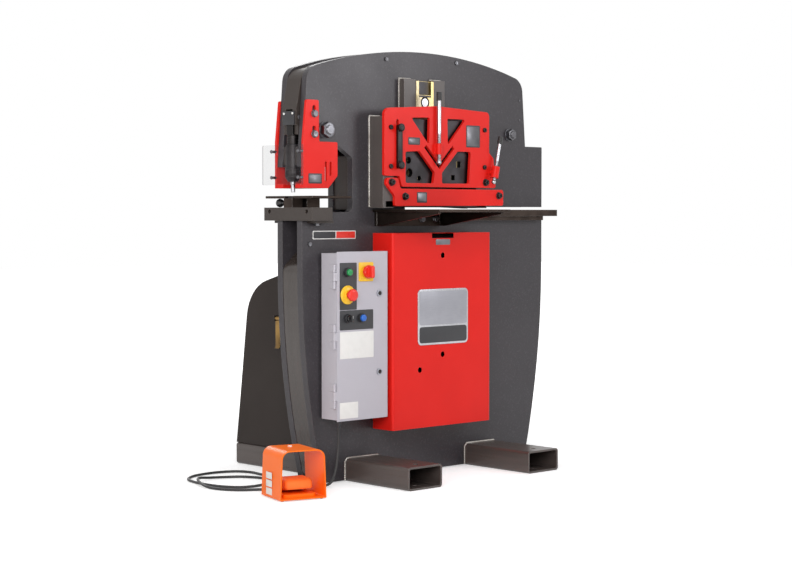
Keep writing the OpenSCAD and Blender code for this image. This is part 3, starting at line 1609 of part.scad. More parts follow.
// Where the cord runs: down from the gland, round the frame's foot, through two loose loops to the pedal
cord_route = [
    [gland_x, gland_y, gland_z - end_gap], [-441, -200, 150], [-446, -201, 100], [-458, -205, 52],
    [-482, -211, 18], [-512, -205, 7],
    [-528, -175, 5], [-515, -135, 5], [-494, -90, 5], [-482, -15, 5], [-486, 65, 5], [-489, 141, 5], [-482, 205, 5],
    [-503, 256, 5], [-554, 283, 5], [-624, 286, 5], [-690, 266, 5], [-738, 222, 5], [-757, 160, 5], [-760, 90, 5],
    [-748, 20, 5], [-710, -32, 5], [-650, -42, 5], [-585, -20, 5], [-544, 30, 5], [-541, 92, 5], [-570, 150, 5],
    [-621, 185, 5], [-676, 190, 8], [-724, 174, 14], [-760, 140, 17], [-784, 92, 12], [-794, 40, 6], [-785, -20, 5],
    [-750, -74, 5], [-702, -106, 5], [-671, -140, 7], [-666, -172, 13],
    [pedal_x + sin(-pedal_yaw) * (pedal_base_d / 2 + plug_l + end_gap),
     pedal_y + cos(pedal_yaw) * (pedal_base_d / 2 + plug_l + end_gap), plug_z]];
cord_path = smooth(cord_route, 3);
cord_far = 6;
// Least gap of the cord to itself, between points that are far apart along it
cord_gap = min([for (i = [0 : len(cord_path) - 1], j = [i + cord_far : 1 : len(cord_path) - 1])
    norm(cord_path[i] - cord_path[j])]) - cord_d;

module pedal_cord() {
    echo(cord_least_gap_mm = cord_gap);
    color("#2a2a2b") swept_tube(cord_path, cord_d, 8, [1, 0, 0]);
}

front_plate();
rear_plate();
frame_spacers();
fork_tubes();
tie_bolt();
pivot_pin();
rocking_beam();
beam_pins();
upper_bar_blade();
cylinder_barrel();
cylinder_rod();
ram_guide();
punch_ram();
coupling_nut();
punch();
bolster();
die_holder();
die();
stock_table();
slug_chute();
stripper();
punch_guard();
shear_housing();
fixed_blades();
shear_slider();
shear_guard();
bar_hold_down();
machine_bolts();
angle_clamp_screw();
angle_clamp_pad();
bar_clamp_collar();
bar_clamp_screw();
bar_clamp_tip();
rod_clamp_bar();
bar_table();
table_supports();
front_cover();
rear_cover();
cover_latch();
reservoir();
motor();
pump_block();
pressure_hose();
control_box();
control_gear();
door_hinges();
control_door();
switch_bezels();
start_button();
reset_button();
stop_button();
selector_knob();
disconnect_handle();
upper_latch();
lower_latch();
cable_glands();
pedal_guard();
pedal_base();
treadle();
pedal_cord();
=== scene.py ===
# %% [markdown]
# # A hydraulic ironworker, dressed for its picture
# The machine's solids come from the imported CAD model. This script keeps every solid whose shape is already
# right and gives it a finish, and builds finer pieces where a plain solid would look bare: nuts and bolts,
# grips, push buttons, weld beads, the clear guard, the treadle and the cord.

# %% Load the frame
import math

import bmesh
import bpy
from mathutils import Euler, Matrix, Vector


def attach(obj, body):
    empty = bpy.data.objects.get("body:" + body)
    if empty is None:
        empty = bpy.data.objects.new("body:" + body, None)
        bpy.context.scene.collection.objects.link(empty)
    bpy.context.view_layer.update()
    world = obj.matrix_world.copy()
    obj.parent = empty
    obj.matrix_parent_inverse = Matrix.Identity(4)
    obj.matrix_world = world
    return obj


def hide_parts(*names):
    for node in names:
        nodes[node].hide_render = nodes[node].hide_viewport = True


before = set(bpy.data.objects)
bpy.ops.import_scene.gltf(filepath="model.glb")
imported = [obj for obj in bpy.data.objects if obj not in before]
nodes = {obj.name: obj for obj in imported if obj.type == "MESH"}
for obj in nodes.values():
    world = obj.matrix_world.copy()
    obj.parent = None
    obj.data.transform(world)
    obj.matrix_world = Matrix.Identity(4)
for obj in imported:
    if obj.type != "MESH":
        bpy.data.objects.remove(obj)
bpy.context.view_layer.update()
scene = bpy.context.scene
MM = 0.001


def put(name, data):
    """A new object with that data, in the scene."""
    thing = bpy.data.objects.new(name, data)
    scene.collection.objects.link(thing)
    return thing


# %% [markdown]
# ## The camera
# A product picture is taken from a distance with a long lens, so upright edges stay almost parallel. The
# place, the two angles and the focal length were worked out from edges of the machine whose size is known.
# The focal length is in pixels of the picture, and Blender wants millimetres of its sensor.

# %% Camera
CAMERA_AT = Vector((-4.24346, -4.53909, 0.8935))
AZIMUTH, ELEVATION = math.radians(-43.099), math.radians(2.391)
PICTURE_WIDTH = 792
FOCAL_PIXELS = 1767.39
SENSOR_WIDTH = 36.0
lens = bpy.data.cameras.new("camera")
lens.sensor_width = SENSOR_WIDTH
lens.lens = FOCAL_PIXELS / PICTURE_WIDTH * SENSOR_WIDTH
scene.camera = put("camera", lens)
look = Euler((math.pi / 2 - ELEVATION, 0, AZIMUTH))
scene.camera.matrix_world = Matrix.LocRotScale(CAMERA_AT, look, None)
print("camera:", round(lens.lens, 1), "mm lens")

# %% [markdown]
# ## The pedal's cord
# A rubber cord drops from the gland under the control box, runs round the foot of the frame, lies on the
# floor in two loose loops and enters the pedal from behind. It could be a swept mesh, but a curve with a
# round bevel stays smooth at any distance and keeps its true length. The points are those of the CAD route.

# %% Cord
CORD_D = 9
CORD_STEPS, BEVEL_STEPS = 8, 5
CORD_ROUTE = [
    (-441, -200, 189.6), (-441, -200, 150), (-446, -201, 100), (-458, -205, 52), (-482, -211, 18),
    (-512, -205, 7), (-528, -175, 5), (-515, -135, 5), (-494, -90, 5), (-482, -15, 5), (-486, 65, 5),
    (-489, 141, 5), (-482, 205, 5), (-503, 256, 5), (-554, 283, 5), (-624, 286, 5), (-690, 266, 5),
    (-738, 222, 5), (-757, 160, 5), (-760, 90, 5), (-748, 20, 5), (-710, -32, 5), (-650, -42, 5),
    (-585, -20, 5), (-544, 30, 5), (-541, 92, 5), (-570, 150, 5), (-621, 185, 5), (-676, 190, 8),
    (-724, 174, 14), (-760, 140, 17), (-784, 92, 12), (-794, 40, 6), (-785, -20, 5), (-750, -74, 5),
    (-702, -106, 5), (-671, -140, 7), (-666, -172, 13), (-675.77, -206.44, 16)]


def smooth_line(points, steps):
    """A soft line through every point, with that many steps from one to the next."""
    p = [Vector(q) for q in points]
    last = len(p) - 1
    line = []
    for i in range(last):
        a, b, c, d = p[max(i - 1, 0)], p[i], p[i + 1], p[min(i + 2, last)]
        for k in range(steps):
            t = k / steps
            line.append((2 * b + (c - a) * t + (2 * a - 5 * b + 4 * c - d) * t ** 2
                         + (3 * b - a - 3 * c + d) * t ** 3) / 2)
    return line + [p[last]]


def soft_tube(name, points, diameter, stands_for):
    """A round rubber tube along a line of points in millimetres, as one open curve.

    Blender grows a curve's box by each point's own radius, so that radius is kept small and scales the bevel.
    """
    curve = bpy.data.curves.new(name, "CURVE")
    curve.dimensions = "3D"
    curve.bevel_depth = diameter / 2
    curve.bevel_resolution = BEVEL_STEPS
    curve.use_fill_caps = True
    spline = curve.splines.new("POLY")
    spline.points.add(len(points) - 1)
    for spot, point in zip(spline.points, points):
        spot.co = (*(point * MM), 1)
        spot.radius = MM
    thing = put(name, curve)
    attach(thing, "frame")
    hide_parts(stands_for)
    return thing


cord_line = smooth_line(CORD_ROUTE, CORD_STEPS)
cord_length = sum((b - a).length for a, b in zip(cord_line, cord_line[1:])) * MM
cord = soft_tube("cord_sheath", cord_line, CORD_D, "pedal_cord")
cord_line[0] * MM
print("cord:", round(cord_length, 3), "m from gland to pedal")

# %% [markdown]
# ## Sums with sockets
# A finish is a sum of patterns: a cloudy stain, a fine grain, a rubbed edge. Wiring each Math node by hand
# hides that sum, so one small class wraps a socket and lets Python's own signs add the nodes. Every other
# node comes from its one method, which sets the node up first and then fills its sockets.

# %% The wire class
class Wire:
    """A socket of a node tree that can be used in sums."""

    def __init__(self, tree, socket=None):
        self.tree, self.socket = tree, socket

    def add(self, kind, settings=None, sockets=None, out=0):
        """Adds a node: its settings first, then the values or links of its sockets."""
        node = self.tree.nodes.new(kind)
        for key, value in (settings or {}).items():
            setattr(node, key, value)
        for key, value in (sockets or {}).items():
            if isinstance(value, Wire):
                self.tree.links.new(value.socket, node.inputs[key])
            else:
                node.inputs[key].default_value = value
        return Wire(self.tree, node.outputs[out])

    def feed(self, node, socket):
        """Links this value to a socket of a node that is already there."""
        self.tree.links.new(self.socket, node.inputs[socket])

    def maths(self, operation, first, second):
        return self.add("ShaderNodeMath", {"operation": operation}, {0: first, 1: second})

    def __add__(self, other):
        return self.maths("ADD", self, other)

    def __sub__(self, other):
        return self.maths("SUBTRACT", self, other)

    def __rsub__(self, other):
        return self.maths("SUBTRACT", other, self)

    def __mul__(self, other):
        return self.maths("MULTIPLY", self, other)

    __radd__ = __add__
    __rmul__ = __mul__


print("wire class ready")

# %% [markdown]
# ## Patterns that finishes share
# Colours are written as they look on screen and turned into the linear numbers that shaders use. The noise
# is read in object space, in metres, so a scale of 400 gives grain about 2.5 mm wide on every piece. Edges
# are found with the Bevel node: where the rounded normal leaves the true one, paint rubs thin and the edge
# takes a lighter colour, which on the powder coats is also a painted highlight.

# %% Shared patterns
looks, slots = {}, {}


def tint(red, green, blue):
    """A colour as it looks on screen, 0 to 255, in the linear numbers that shaders take."""
    def linear(c):
        c /= 255
        return c / 12.92 if c <= 0.04045 else ((c + 0.055) / 1.055) ** 2.4
    return (linear(red), linear(green), linear(blue), 1.0)


def shade(colour, share):
    """The same colour, darker below 1 and lighter above."""
    return tuple(min(1.0, c * share) for c in colour[:3]) + (1.0,)


def surface(name, slot, fixed):
    """A new look and its slot: the start of its sums, its shader and its object coordinates."""
    material = bpy.data.materials.new(name)
    material.use_nodes = True
    start = Wire(material.node_tree)
    shader = material.node_tree.nodes["Principled BSDF"]
    for socket, value in fixed.items():
        shader.inputs[socket].default_value = value
    looks[name], slots[name] = material, slot
    return start, shader, start.add("ShaderNodeTexCoord", out="Object")


def noise(start, where, scale, detail=3.0, stretch=None):
    if stretch:
        where = start.add("ShaderNodeVectorMath", {"operation": "MULTIPLY"}, {0: where, 1: stretch})
    return start.add("ShaderNodeTexNoise", {}, {"Vector": where, "Scale": scale, "Detail": detail}, "Fac")


def step_up(start, value, low, high):
    """0 below low, 1 above high and a soft step between."""
    return start.add("ShaderNodeMapRange", {"interpolation_type": "SMOOTHSTEP"},
                     {"Value": value, "From Min": low, "From Max": high}, "Result")


def blend(start, share, first, second):
    return start.add("ShaderNodeMix", {"data_type": "RGBA"}, {0: share, 6: first, 7: second}, 2)


def bump(start, height, strength, depth, normal):
    return start.add("ShaderNodeBump", {}, {"Strength": strength, "Distance": depth, "Height": height,
                                            "Normal": normal}, "Normal")


def worn_edges(start, radius):
    """The normal of softly rounded edges, and a value that is above 0 along them."""
    rounded = start.add("ShaderNodeBevel", {"samples": 4}, {"Radius": radius})
    facing = start.add("ShaderNodeNewGeometry", out="Normal")
    agree = start.add("ShaderNodeVectorMath", {"operation": "DOT_PRODUCT"}, {0: rounded, 1: facing}, "Value")
    return rounded, 1 - agree


print("patterns ready")

# %% [markdown]
# ## Paint
# The plates carry a textured powder coat, the covers a smoother one, the guards a satin red. All are one
# recipe: a colour that drifts slowly, fine flecks, a skin of tiny bumps, and lighter edges, where the paint
# is rubbed towards bare metal and which also carry a painted highlight. A stretched drift gives the long
# streaks of the rolled tubes and the chute.

# %% Paint recipe
PAINT_CLOUD, PAINT_GRAIN = 6, 700
PAINT_EDGE, PAINT_DEPTH = 0.0022, 0.0005


def paint(name, slot, colour, edge_wear_and_highlight, rough, flecks, skin, drift, edge, gloss, stretch=None, fleck_scale=330):
    """A powder coat, with both colours as they look on screen."""
    colour, edge_wear_and_highlight = tint(*colour), tint(*edge_wear_and_highlight)
    start, shader, where = surface(name, slot, {"Specular IOR Level": gloss})
    cloud = noise(start, where, PAINT_CLOUD, 5, stretch)
    grain = noise(start, where, PAINT_GRAIN, 2)
    fleck = noise(start, where, fleck_scale, 2)
    rounded, bend = worn_edges(start, PAINT_EDGE)
    # The rubbed edge blends in the lighter edge colour: paint worn towards metal, and also a painted
    # highlight along every edge.
    rub = step_up(start, bend * (cloud + 0.35), 0.02, 0.2) * edge
    base = blend(start, step_up(start, cloud, 0.35, 0.68) * drift, colour, shade(colour, 0.72))
    base = blend(start, step_up(start, fleck, 0.52, 0.74) * flecks, base, shade(colour, 1.55))
    blend(start, rub, base, edge_wear_and_highlight).feed(shader, "Base Color")
    (rough + (cloud - 0.5) * 0.22 + (grain - 0.5) * 0.16 - rub * 0.12).feed(shader, "Roughness")
    bump(start, grain + fleck * 0.6, skin, PAINT_DEPTH, rounded).feed(shader, "Normal")


TUBE_STREAK, CHUTE_STREAK = (9, 0.5, 9), (6, 6, 0.6)
# The worn colour is the edge colour: wear towards bare metal, and also a painted highlight along the edges.
PAINTS = [  # name, slot, colour, worn colour, rough, flecks, skin, drift, edge, gloss, stretch, fleck scale
    ("plate_coat", "plate_paint", (58, 55, 58), (128, 122, 118), 0.34, 0.75, 0.45, 0.35, 0.5, 0.32, None,
     190),
    # The chute's edge colour is much lighter and takes a large share: a painted highlight on its rim as well
    # as wear.
    ("chute_coat", "plate_paint", (62, 55, 51), (168, 160, 152), 0.26, 0.15, 0.15, 0.6, 0.9, 0.5,
     CHUTE_STREAK),
    ("beam_coat", "plate_paint", (58, 51, 47), (124, 116, 108), 0.4, 0.22, 0.3, 0.35, 0.5, 0.3),
    ("housing_coat", "brown_steel", (84, 78, 75), (150, 143, 138), 0.36, 0.2, 0.25, 0.5, 0.7, 0.4),
    ("tube_coat", "tube_paint", (78, 69, 65), (150, 143, 138), 0.32, 0.12, 0.12, 0.75, 0.75, 0.5,
     TUBE_STREAK),
    ("hood_coat", "cover_paint", (42, 34, 30), (100, 92, 86), 0.44, 0.16, 0.3, 0.35, 0.45, 0.16),
    ("red_coat", "red_paint", (222, 30, 22), (238, 120, 104), 0.4, 0.06, 0.12, 0.16, 0.4, 0.22),
    ("grey_coat", "grey_paint", (182, 179, 186), (214, 212, 214), 0.38, 0.1, 0.14, 0.1, 0.3, 0.4),
    ("orange_coat", "orange_paint", (255, 114, 14), (250, 160, 104), 0.36, 0.06, 0.1, 0.1, 0.4, 0.2),
    ("pad_coat", "pad_paint", (255, 124, 52), (246, 140, 88), 0.5, 0.1, 0.3, 0.25, 0.3, 0.2),
    ("machine_coat", "machine_grey", (92, 96, 100), (140, 142, 144), 0.42, 0.15, 0.2, 0.35, 0.5, 0.4),
    ("tank_coat", "machine_grey", (44, 46, 48), (96, 96, 98), 0.4, 0.12, 0.2, 0.35, 0.5, 0.4),
]
for row in PAINTS:
    paint(*row)
print("paints:", len(looks))

# %% [markdown]
# ## Bare metal, plastic and rubber
# Ground steel shows fine parallel lines, black oxide is dark and a little oily, yellow zinc drifts between
# straw and grey, and mill steel is brown with scale. One recipe covers them: a metal whose roughness and
# bump follow a stretched noise, with a stain laid over it. Plastics are plain, with a faint moulded grain.

# %% Metal and plastic recipes
METAL_CLOUD, METAL_EDGE = 14, 0.0012
SHELL_CLOUD, SHELL_GRAIN, SHELL_EDGE = 40, 1400, 0.0008
FINE_DEPTH = 0.0003
GREY_METAL, SCUFF = (150, 146, 142), tint(150, 148, 146)
EVEN, UPRIGHT, ALONG_X, ROUND_Z = (1, 1, 1), (8, 8, 0.3), (0.3, 8, 8), (2, 2, 14)


def metal(name, slot, colour, stain, rough, stains, lines=EVEN, line_scale=90, edge=0.4, bright=GREY_METAL):
    """A bare or plated metal, with lines along one way and edges rubbed bright."""
    colour, stain, bright = tint(*colour), tint(*stain), tint(*bright)
    start, shader, where = surface(name, slot, {"Metallic": 1.0})
    cloud = noise(start, where, METAL_CLOUD, 5)
    line = noise(start, where, line_scale, 4, lines)
    rounded, bend = worn_edges(start, METAL_EDGE)
    rub = step_up(start, bend * (cloud + 0.4), 0.02, 0.16) * edge
    base = blend(start, step_up(start, cloud, 0.38, 0.66) * stains, colour, stain)
    base = blend(start, step_up(start, line, 0.5, 0.8) * 0.3, base, shade(colour, 0.7))
    blend(start, rub, base, bright).feed(shader, "Base Color")
    (rough + (cloud - 0.5) * 0.2 + (line - 0.5) * 0.25 - rub * 0.1).feed(shader, "Roughness")
    bump(start, line, 0.15, FINE_DEPTH, rounded).feed(shader, "Normal")


def moulded(name, slot, colour, rough, grain=0.12):
    """A plastic or rubber with a faint moulded grain."""
    colour = tint(*colour)
    start, shader, where = surface(name, slot, {"Specular IOR Level": 0.5})
    cloud = noise(start, where, SHELL_CLOUD, 4)
    fine = noise(start, where, SHELL_GRAIN, 2)
    rounded, bend = worn_edges(start, SHELL_EDGE)
    rub = step_up(start, bend * (cloud + 0.4), 0.03, 0.25) * 0.12
    base = blend(start, step_up(start, cloud, 0.4, 0.7) * 0.2, colour, shade(colour, 0.8))
    blend(start, rub, base, SCUFF).feed(shader, "Base Color")
    (rough + (cloud - 0.5) * 0.14 + (fine - 0.5) * 0.1).feed(shader, "Roughness")
    bump(start, fine, grain, FINE_DEPTH, rounded).feed(shader, "Normal")


METALS = [  # name, slot, colour, stain, rough, share of stain, lines, their scale, edge, rubbed colour
    ("ground_steel", "steel", (178, 179, 183), (150, 148, 146), 0.28, 0.3, UPRIGHT),
    ("turned_steel", "steel", (178, 180, 184), (128, 126, 126), 0.32, 0.35, ROUND_Z),
    ("zinc_plate", "zinc", (166, 168, 176), (132, 134, 142), 0.36, 0.5),
    ("dull_zinc", "steel", (112, 112, 116), (76, 74, 76), 0.36, 0.6),
    ("old_brass", "zinc", (150, 118, 66), (74, 56, 38), 0.36, 0.8, EVEN, 90, 0.4, (206, 180, 120)),
    ("yellow_zinc", "zinc", (196, 176, 122), (150, 146, 140), 0.34, 0.6, EVEN, 90, 0.4, (214, 196, 150)),
    ("black_oxide", "dark_steel", (52, 50, 50), (34, 32, 32), 0.4, 0.5, EVEN, 90, 0.3),
    ("blade_steel", "steel", (62, 60, 62), (38, 36, 36), 0.42, 0.6, ALONG_X),
    ("mill_steel", "brown_steel", (62, 53, 48), (42, 35, 31), 0.46, 0.7, ALONG_X, 60, 0.8),
    ("weld_metal", "steel", (176, 172, 166), (104, 96, 88), 0.38, 0.6, EVEN, 400),
    ("plain_plate", "steel", (150, 150, 156), (124, 124, 130), 0.4, 0.2, ALONG_X),
]
SHELLS = [  # name, slot, colour, rough, grain
    ("black_shell", "black_plastic", (40, 40, 43), 0.46),
    ("black_gloss", "black_plastic", (24, 24, 26), 0.16, 0.03),
    ("white_shell", "white_plastic", (226, 225, 221), 0.42),
    ("yellow_shell", "yellow_plastic", (238, 190, 36), 0.34),
    ("red_shell", "red_plastic", (226, 44, 30), 0.3),
    ("green_shell", "green_plastic", (22, 138, 72), 0.28),
    ("blue_shell", "blue_plastic", (30, 98, 190), 0.28),
    ("rubber", "black_rubber", (38, 37, 37), 0.52, 0.3),
]
for row in METALS:
    metal(*row)
for row in SHELLS:
    moulded(*row)
cord.data.materials.append(looks["rubber"])
print("paints, metals and plastics:", len(looks))

# %% [markdown]
# ## Floor, backdrop and light
# The machine stands on a white floor that runs into a white backdrop. The world is white only for rays that
# come from the camera, a gloss or clear plastic, and a quiet grey for the light that falls on the machine.
# A broad lamp in front lights the faces towards the operator, a warmer one at the left fills the ends, one
# above lights the tops, a small one at the right gives the upper plate its sheen, and one behind lights the
# rear cover.

# %% Stage
WHITE = (1, 1, 1, 1)
FLOOR_SIZE, FLOOR_DROP = 40, 0.0005
FLOOR_LOOK = {"Base Color": (0.86, 0.86, 0.86, 1), "Roughness": 0.9, "Specular IOR Level": 0.0}
NEAR_GLOW, FAR_GLOW, GLOW_FROM, GLOW_TO = 0.42, 0.6, 0.8, 3.0
WORLD_LEVEL = 0.34
FRONT_AIM, COOL, NEUTRAL = (-0.3, 0, 0.7), (0.97, 0.97, 1.0), (1.0, 1.0, 1.0)


def seen_directly(start):
    """1 for rays from the camera, from a gloss or through something clear, else 0."""
    path = start.tree.nodes.new("ShaderNodeLightPath")
    camera_ray, glossy, clear = (Wire(start.tree, path.outputs[name]) for name in
                                 ("Is Camera Ray", "Is Glossy Ray", "Is Transmission Ray"))
    return camera_ray + glossy + clear


def white_world():
    world = bpy.data.worlds.new("studio")
    scene.world = world
    world.use_nodes = True
    start = Wire(world.node_tree)
    seen = seen_directly(start)
    light, white = (start.add("ShaderNodeBackground", {}, {"Color": WHITE, "Strength": strength})
                    for strength in (WORLD_LEVEL, 1.0))
    start.add("ShaderNodeMixShader", {}, {0: seen, 1: light, 2: white}).feed(
        world.node_tree.nodes["World Output"], "Surface")


def white_floor():
    """A floor that glows for the camera, fully white far away, so shadows show only near the machine."""
    mesh = bpy.data.meshes.new("floor")
    half = FLOOR_SIZE / 2
    corners = [(-half, -half, 0), (half, -half, 0), (half, half, 0), (-half, half, 0)]
    mesh.from_pydata(corners, [], [(0, 1, 2, 3)])
    floor = put("floor", mesh)
    floor.location.z = -FLOOR_DROP
    start, shader, where = surface("white_floor", None, FLOOR_LOOK)
    painted = Wire(start.tree, shader.outputs[0])
    away = start.add("ShaderNodeVectorMath", {"operation": "LENGTH"}, {0: where}, "Value")
    far = step_up(start, away, GLOW_FROM, GLOW_TO)
    glow = start.add("ShaderNodeEmission", {}, {"Color": WHITE, "Strength": NEAR_GLOW + far * FAR_GLOW})
    both = start.add("ShaderNodeAddShader", {}, {0: glow, 1: painted})
    mixed = start.add("ShaderNodeMixShader", {}, {0: seen_directly(start), 1: painted, 2: both})
    mixed.feed(start.tree.nodes["Material Output"], "Surface")
    mesh.materials.append(looks["white_floor"])


def lamp(name, at, aim, size, power, colour):
    light = bpy.data.lights.new(name, "AREA")
    light.shape = "RECTANGLE"
    light.size, light.size_y = size
    light.energy, light.color = power, colour
    thing = put(name, light)
    thing.location = at
    thing.rotation_euler = (Vector(aim) - Vector(at)).to_track_quat("-Z", "Y").to_euler()


scene.view_settings.view_transform = "Standard"
white_world()
white_floor()
lamp("front_lamp", (-3.0, -2.8, 1.9), FRONT_AIM, (2.2, 2.0), 104, COOL)
lamp("left_lamp", (-4.4, -0.6, 1.9), FRONT_AIM, (2.4, 2.0), 18, (1.0, 0.84, 0.68))
lamp("top_lamp", (0.2, -0.6, 4.2), (0, -0.2, 0.8), (3.0, 3.0), 45, NEUTRAL)
lamp("sheen_lamp", (1.4, -2.3, 1.7), (-0.5, -0.1, 1.4), (0.7, 0.8), 15, COOL)
lamp("back_lamp", (1.6, 4.4, 2.6), (0, 0.2, 0.7), (2.4, 2.0), 60, NEUTRAL)
print("stage: white floor, five soft lamps")

# %% [markdown]
# ## Dressing the solids
# Most solids have the right shape already. Each gets its finish in its material slot, and real edges: a
# weld joins the triangles that the CAD export left apart, a planar dissolve clears the flat faces, and a
# narrow bevel rounds every sharp edge so that it catches the light.

# %% Dress the CAD nodes
WELD_GAP = 1e-5
FLAT_ANGLE, SHARP_ANGLE = math.radians(0.4), math.radians(38)
SOFTENING = [
    ("WELD", {"merge_threshold": WELD_GAP}),
    ("DECIMATE", {"decimate_type": "DISSOLVE", "angle_limit": FLAT_ANGLE}),
    ("BEVEL", {"segments": 2, "limit_method": "ANGLE", "angle_limit": SHARP_ANGLE}),
    ("WEIGHTED_NORMAL", {"keep_sharp": True}),
]
FINISHES = [
    ("plate_coat", 1.2, "front_plate rear_plate"),
    ("beam_coat", 1.2, "frame_spacers rocking_beam ram_guide bolster"),
    ("tube_coat", 0.8, "fork_tubes"),
    ("hood_coat", 0.8, "rear_cover"),
    ("red_coat", 0.9, "shear_guard bar_hold_down stripper front_cover bar_clamp_collar"),
    ("grey_coat", 0.6, "control_box control_door door_hinges"),
    ("orange_coat", 0.7, "pedal_guard pedal_base"),
    ("housing_coat", 0.9, "shear_housing"),
    ("mill_steel", 0.7, "bar_table table_supports stock_table die_holder"),
    ("chute_coat", 0.4, "slug_chute"),
    ("blade_steel", 0.4, "fixed_blades upper_bar_blade die"),
    ("turned_steel", 0.4, "punch beam_pins cylinder_rod bar_clamp_tip angle_clamp_pad"),
    ("black_oxide", 0.5, "punch_ram"),
    ("yellow_zinc", 0.8, "shear_slider"),
    ("zinc_plate", 0.4, "upper_latch lower_latch"),
    ("machine_coat", 0.8, "cylinder_barrel pump_block"),
    ("tank_coat", 0.8, "reservoir"),
    ("white_shell", 0.6, "control_gear"),
]


def soften(thing, width):
    """Joins the export's loose triangles and rounds the sharp edges, as modifiers."""
    for kind, settings in SOFTENING:
        modifier = thing.modifiers.new(kind.lower(), kind)
        for key, value in settings.items():
            setattr(modifier, key, value)
    thing.modifiers["bevel"].width = width * MM


def dress(thing, finish):
    """Puts one finish in every material slot of a node."""
    for spot in thing.material_slots:
        spot.material = looks[finish]
    if not thing.material_slots:
        thing.data.materials.append(looks[finish])


dressed = 0
for finish, width, names in FINISHES:
    for name in names.split():
        dress(nodes[name], finish)
        soften(nodes[name], width)
        dressed += 1
print("dressed", dressed, "solids")

# %% [markdown]
# ## Shapes from lists of points
# Nearly every small piece is either turned on a lathe or cut from plate. So two helpers do most of the work.
# One spins a list of rings, whose radius may change with the angle, which gives hexagons and knurls. The
# other draws a flat outline up and rounds its rim. A third sweeps a bead along a line for welds.

# %% Shape helpers
SAME_SPOT, ANY_SIDE = 1e-7, Vector((0.31, 0.59, 0.74))


def spun(rings, at, sides=36):
    """A turned shape: rings of radius and height, each a number or a function of the angle."""
    points, faces, loops = [], [], []
    for radius, height in rings:
        count = sides if radius else 1
        loops.append(range(len(points), len(points) + count))
        for k in range(count):
            a = 2 * math.pi * k / sides
            r = radius(a) if callable(radius) else radius
            h = height(a) if callable(height) else height
            points.append(at @ Vector((r * math.cos(a), r * math.sin(a), h)))
    for low, high in zip(loops, loops[1:]):
        a, b = len(low), len(high)
        for k in range(max(a, b)):
            face = [low[k % a], low[(k + 1) % a], high[(k + 1) % b], high[k % b]]
            faces.append(list(dict.fromkeys(face)))
    return points, faces


def rod(r, length, at, chamfer=0.0):
    """A round rod, with chamfered ends where a chamfer is given."""
    ends = [(r - chamfer, 0), (r, chamfer), (r, length - chamfer), (r - chamfer, length)]
    return spun([(0, 0)] + (ends if chamfer else ends[1:3]) + [(0, length)], at)


def tube_faces(rings, n):
    """The faces between rings of n points each, with both ends closed."""
    faces = [[i * n + k, i * n + (k + 1) % n, (i + 1) * n + (k + 1) % n, (i + 1) * n + k]
             for i in range(rings - 1) for k in range(n)]
    return faces + [list(range(n))[::-1], [(rings - 1) * n + k for k in range(n)]]


def inset(outline, by):
    """An outline, counter-clockwise, moved inwards."""
    n, moved = len(outline), []
    for i in range(n):
        before, here, after = (Vector(outline[(i + k) % n]) for k in (-1, 0, 1))
        a, b = (here - before).normalized(), (after - here).normalized()
        in_a, in_b = Vector((-a.y, a.x)), Vector((-b.y, b.x))
        moved.append(here + (in_a + in_b) * by / max(0.3, 1 + in_a.dot(in_b)))
    return moved


def drawn(outline, height, at, edge=1.0, steps=3):
    """A flat outline drawn up from 0, with its upper rim rounded."""
    rings = [(0.0, 0.0)]
    for k in range(steps + 1):
        t = math.pi / 2 * k / steps
        rings.append((edge * (1 - math.cos(t)), height - edge + edge * math.sin(t)))
    points = [at @ Vector((q.x, q.y, z)) for by, z in rings for q in inset(outline, by)]
    return points, tube_faces(len(rings), len(outline))


def round_rect(low, high, r, steps=5):
    """The outline of a rectangle with round corners, counter-clockwise."""
    spots = []
    for cx, cy, turn in ((high[0] - r, high[1] - r, 0), (low[0] + r, high[1] - r, 1),
                         (low[0] + r, low[1] + r, 2), (high[0] - r, low[1] + r, 3)):
        for k in range(steps + 1):
            a = math.pi / 2 * (turn + k / steps)
            spots.append(Vector((cx + r * math.cos(a), cy + r * math.sin(a))))
    return spots


def swept(line, radius, sides=10):
    """A tube along a line; the radius is a function of the step."""
    points, last, side = [], len(line) - 1, ANY_SIDE
    for i, p in enumerate(line):
        way = (line[min(i + 1, last)] - line[max(i - 1, 0)]).normalized()
        side = (side - way * side.dot(way)).normalized()
        across = way.cross(side)
        for k in range(sides):
            a = 2 * math.pi * k / sides
            points.append(p + (side * math.cos(a) + across * math.sin(a)) * radius(i))
    return points, tube_faces(len(line), sides)


def piece(name, parts, finish, body="frame", stands_for=None, slot=None, sharp=SHARP_ANGLE):
    """One object from parts in millimetres, with its finish, riding on a body."""
    shape = bmesh.new()
    for points, faces in parts:
        corners = [shape.verts.new(p * MM) for p in points]
        for face in faces:
            shape.faces.new([corners[i] for i in face])
        bmesh.ops.remove_doubles(shape, verts=corners, dist=SAME_SPOT)
    bmesh.ops.recalc_face_normals(shape, faces=shape.faces)
    mesh = bpy.data.meshes.new(name)
    shape.to_mesh(mesh)
    shape.free()
    mesh.shade_smooth()
    mesh.set_sharp_from_angle(angle=sharp)
    mesh.materials.append(looks[finish])
    thing = put(name, mesh)
    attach(thing, body)
    if stands_for:
        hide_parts(stands_for)
    print("piece:", name, len(mesh.polygons), "faces on", body)
    return thing


def facing_front(x, z, y):
    """A place whose local Z points to the operator."""
    return Matrix(((1, 0, 0, x), (0, 0, -1, y), (0, 1, 0, z), (0, 0, 0, 1)))


def facing_back(x, z, y):
    return Matrix(((-1, 0, 0, x), (0, 0, 1, y), (0, 1, 0, z), (0, 0, 0, 1)))


def facing_left(y, z, x):
    return Matrix(((0, 0, -1, x), (-1, 0, 0, y), (0, 1, 0, z), (0, 0, 0, 1)))


def upright(x, y, z):
    return Matrix.Translation((x, y, z))


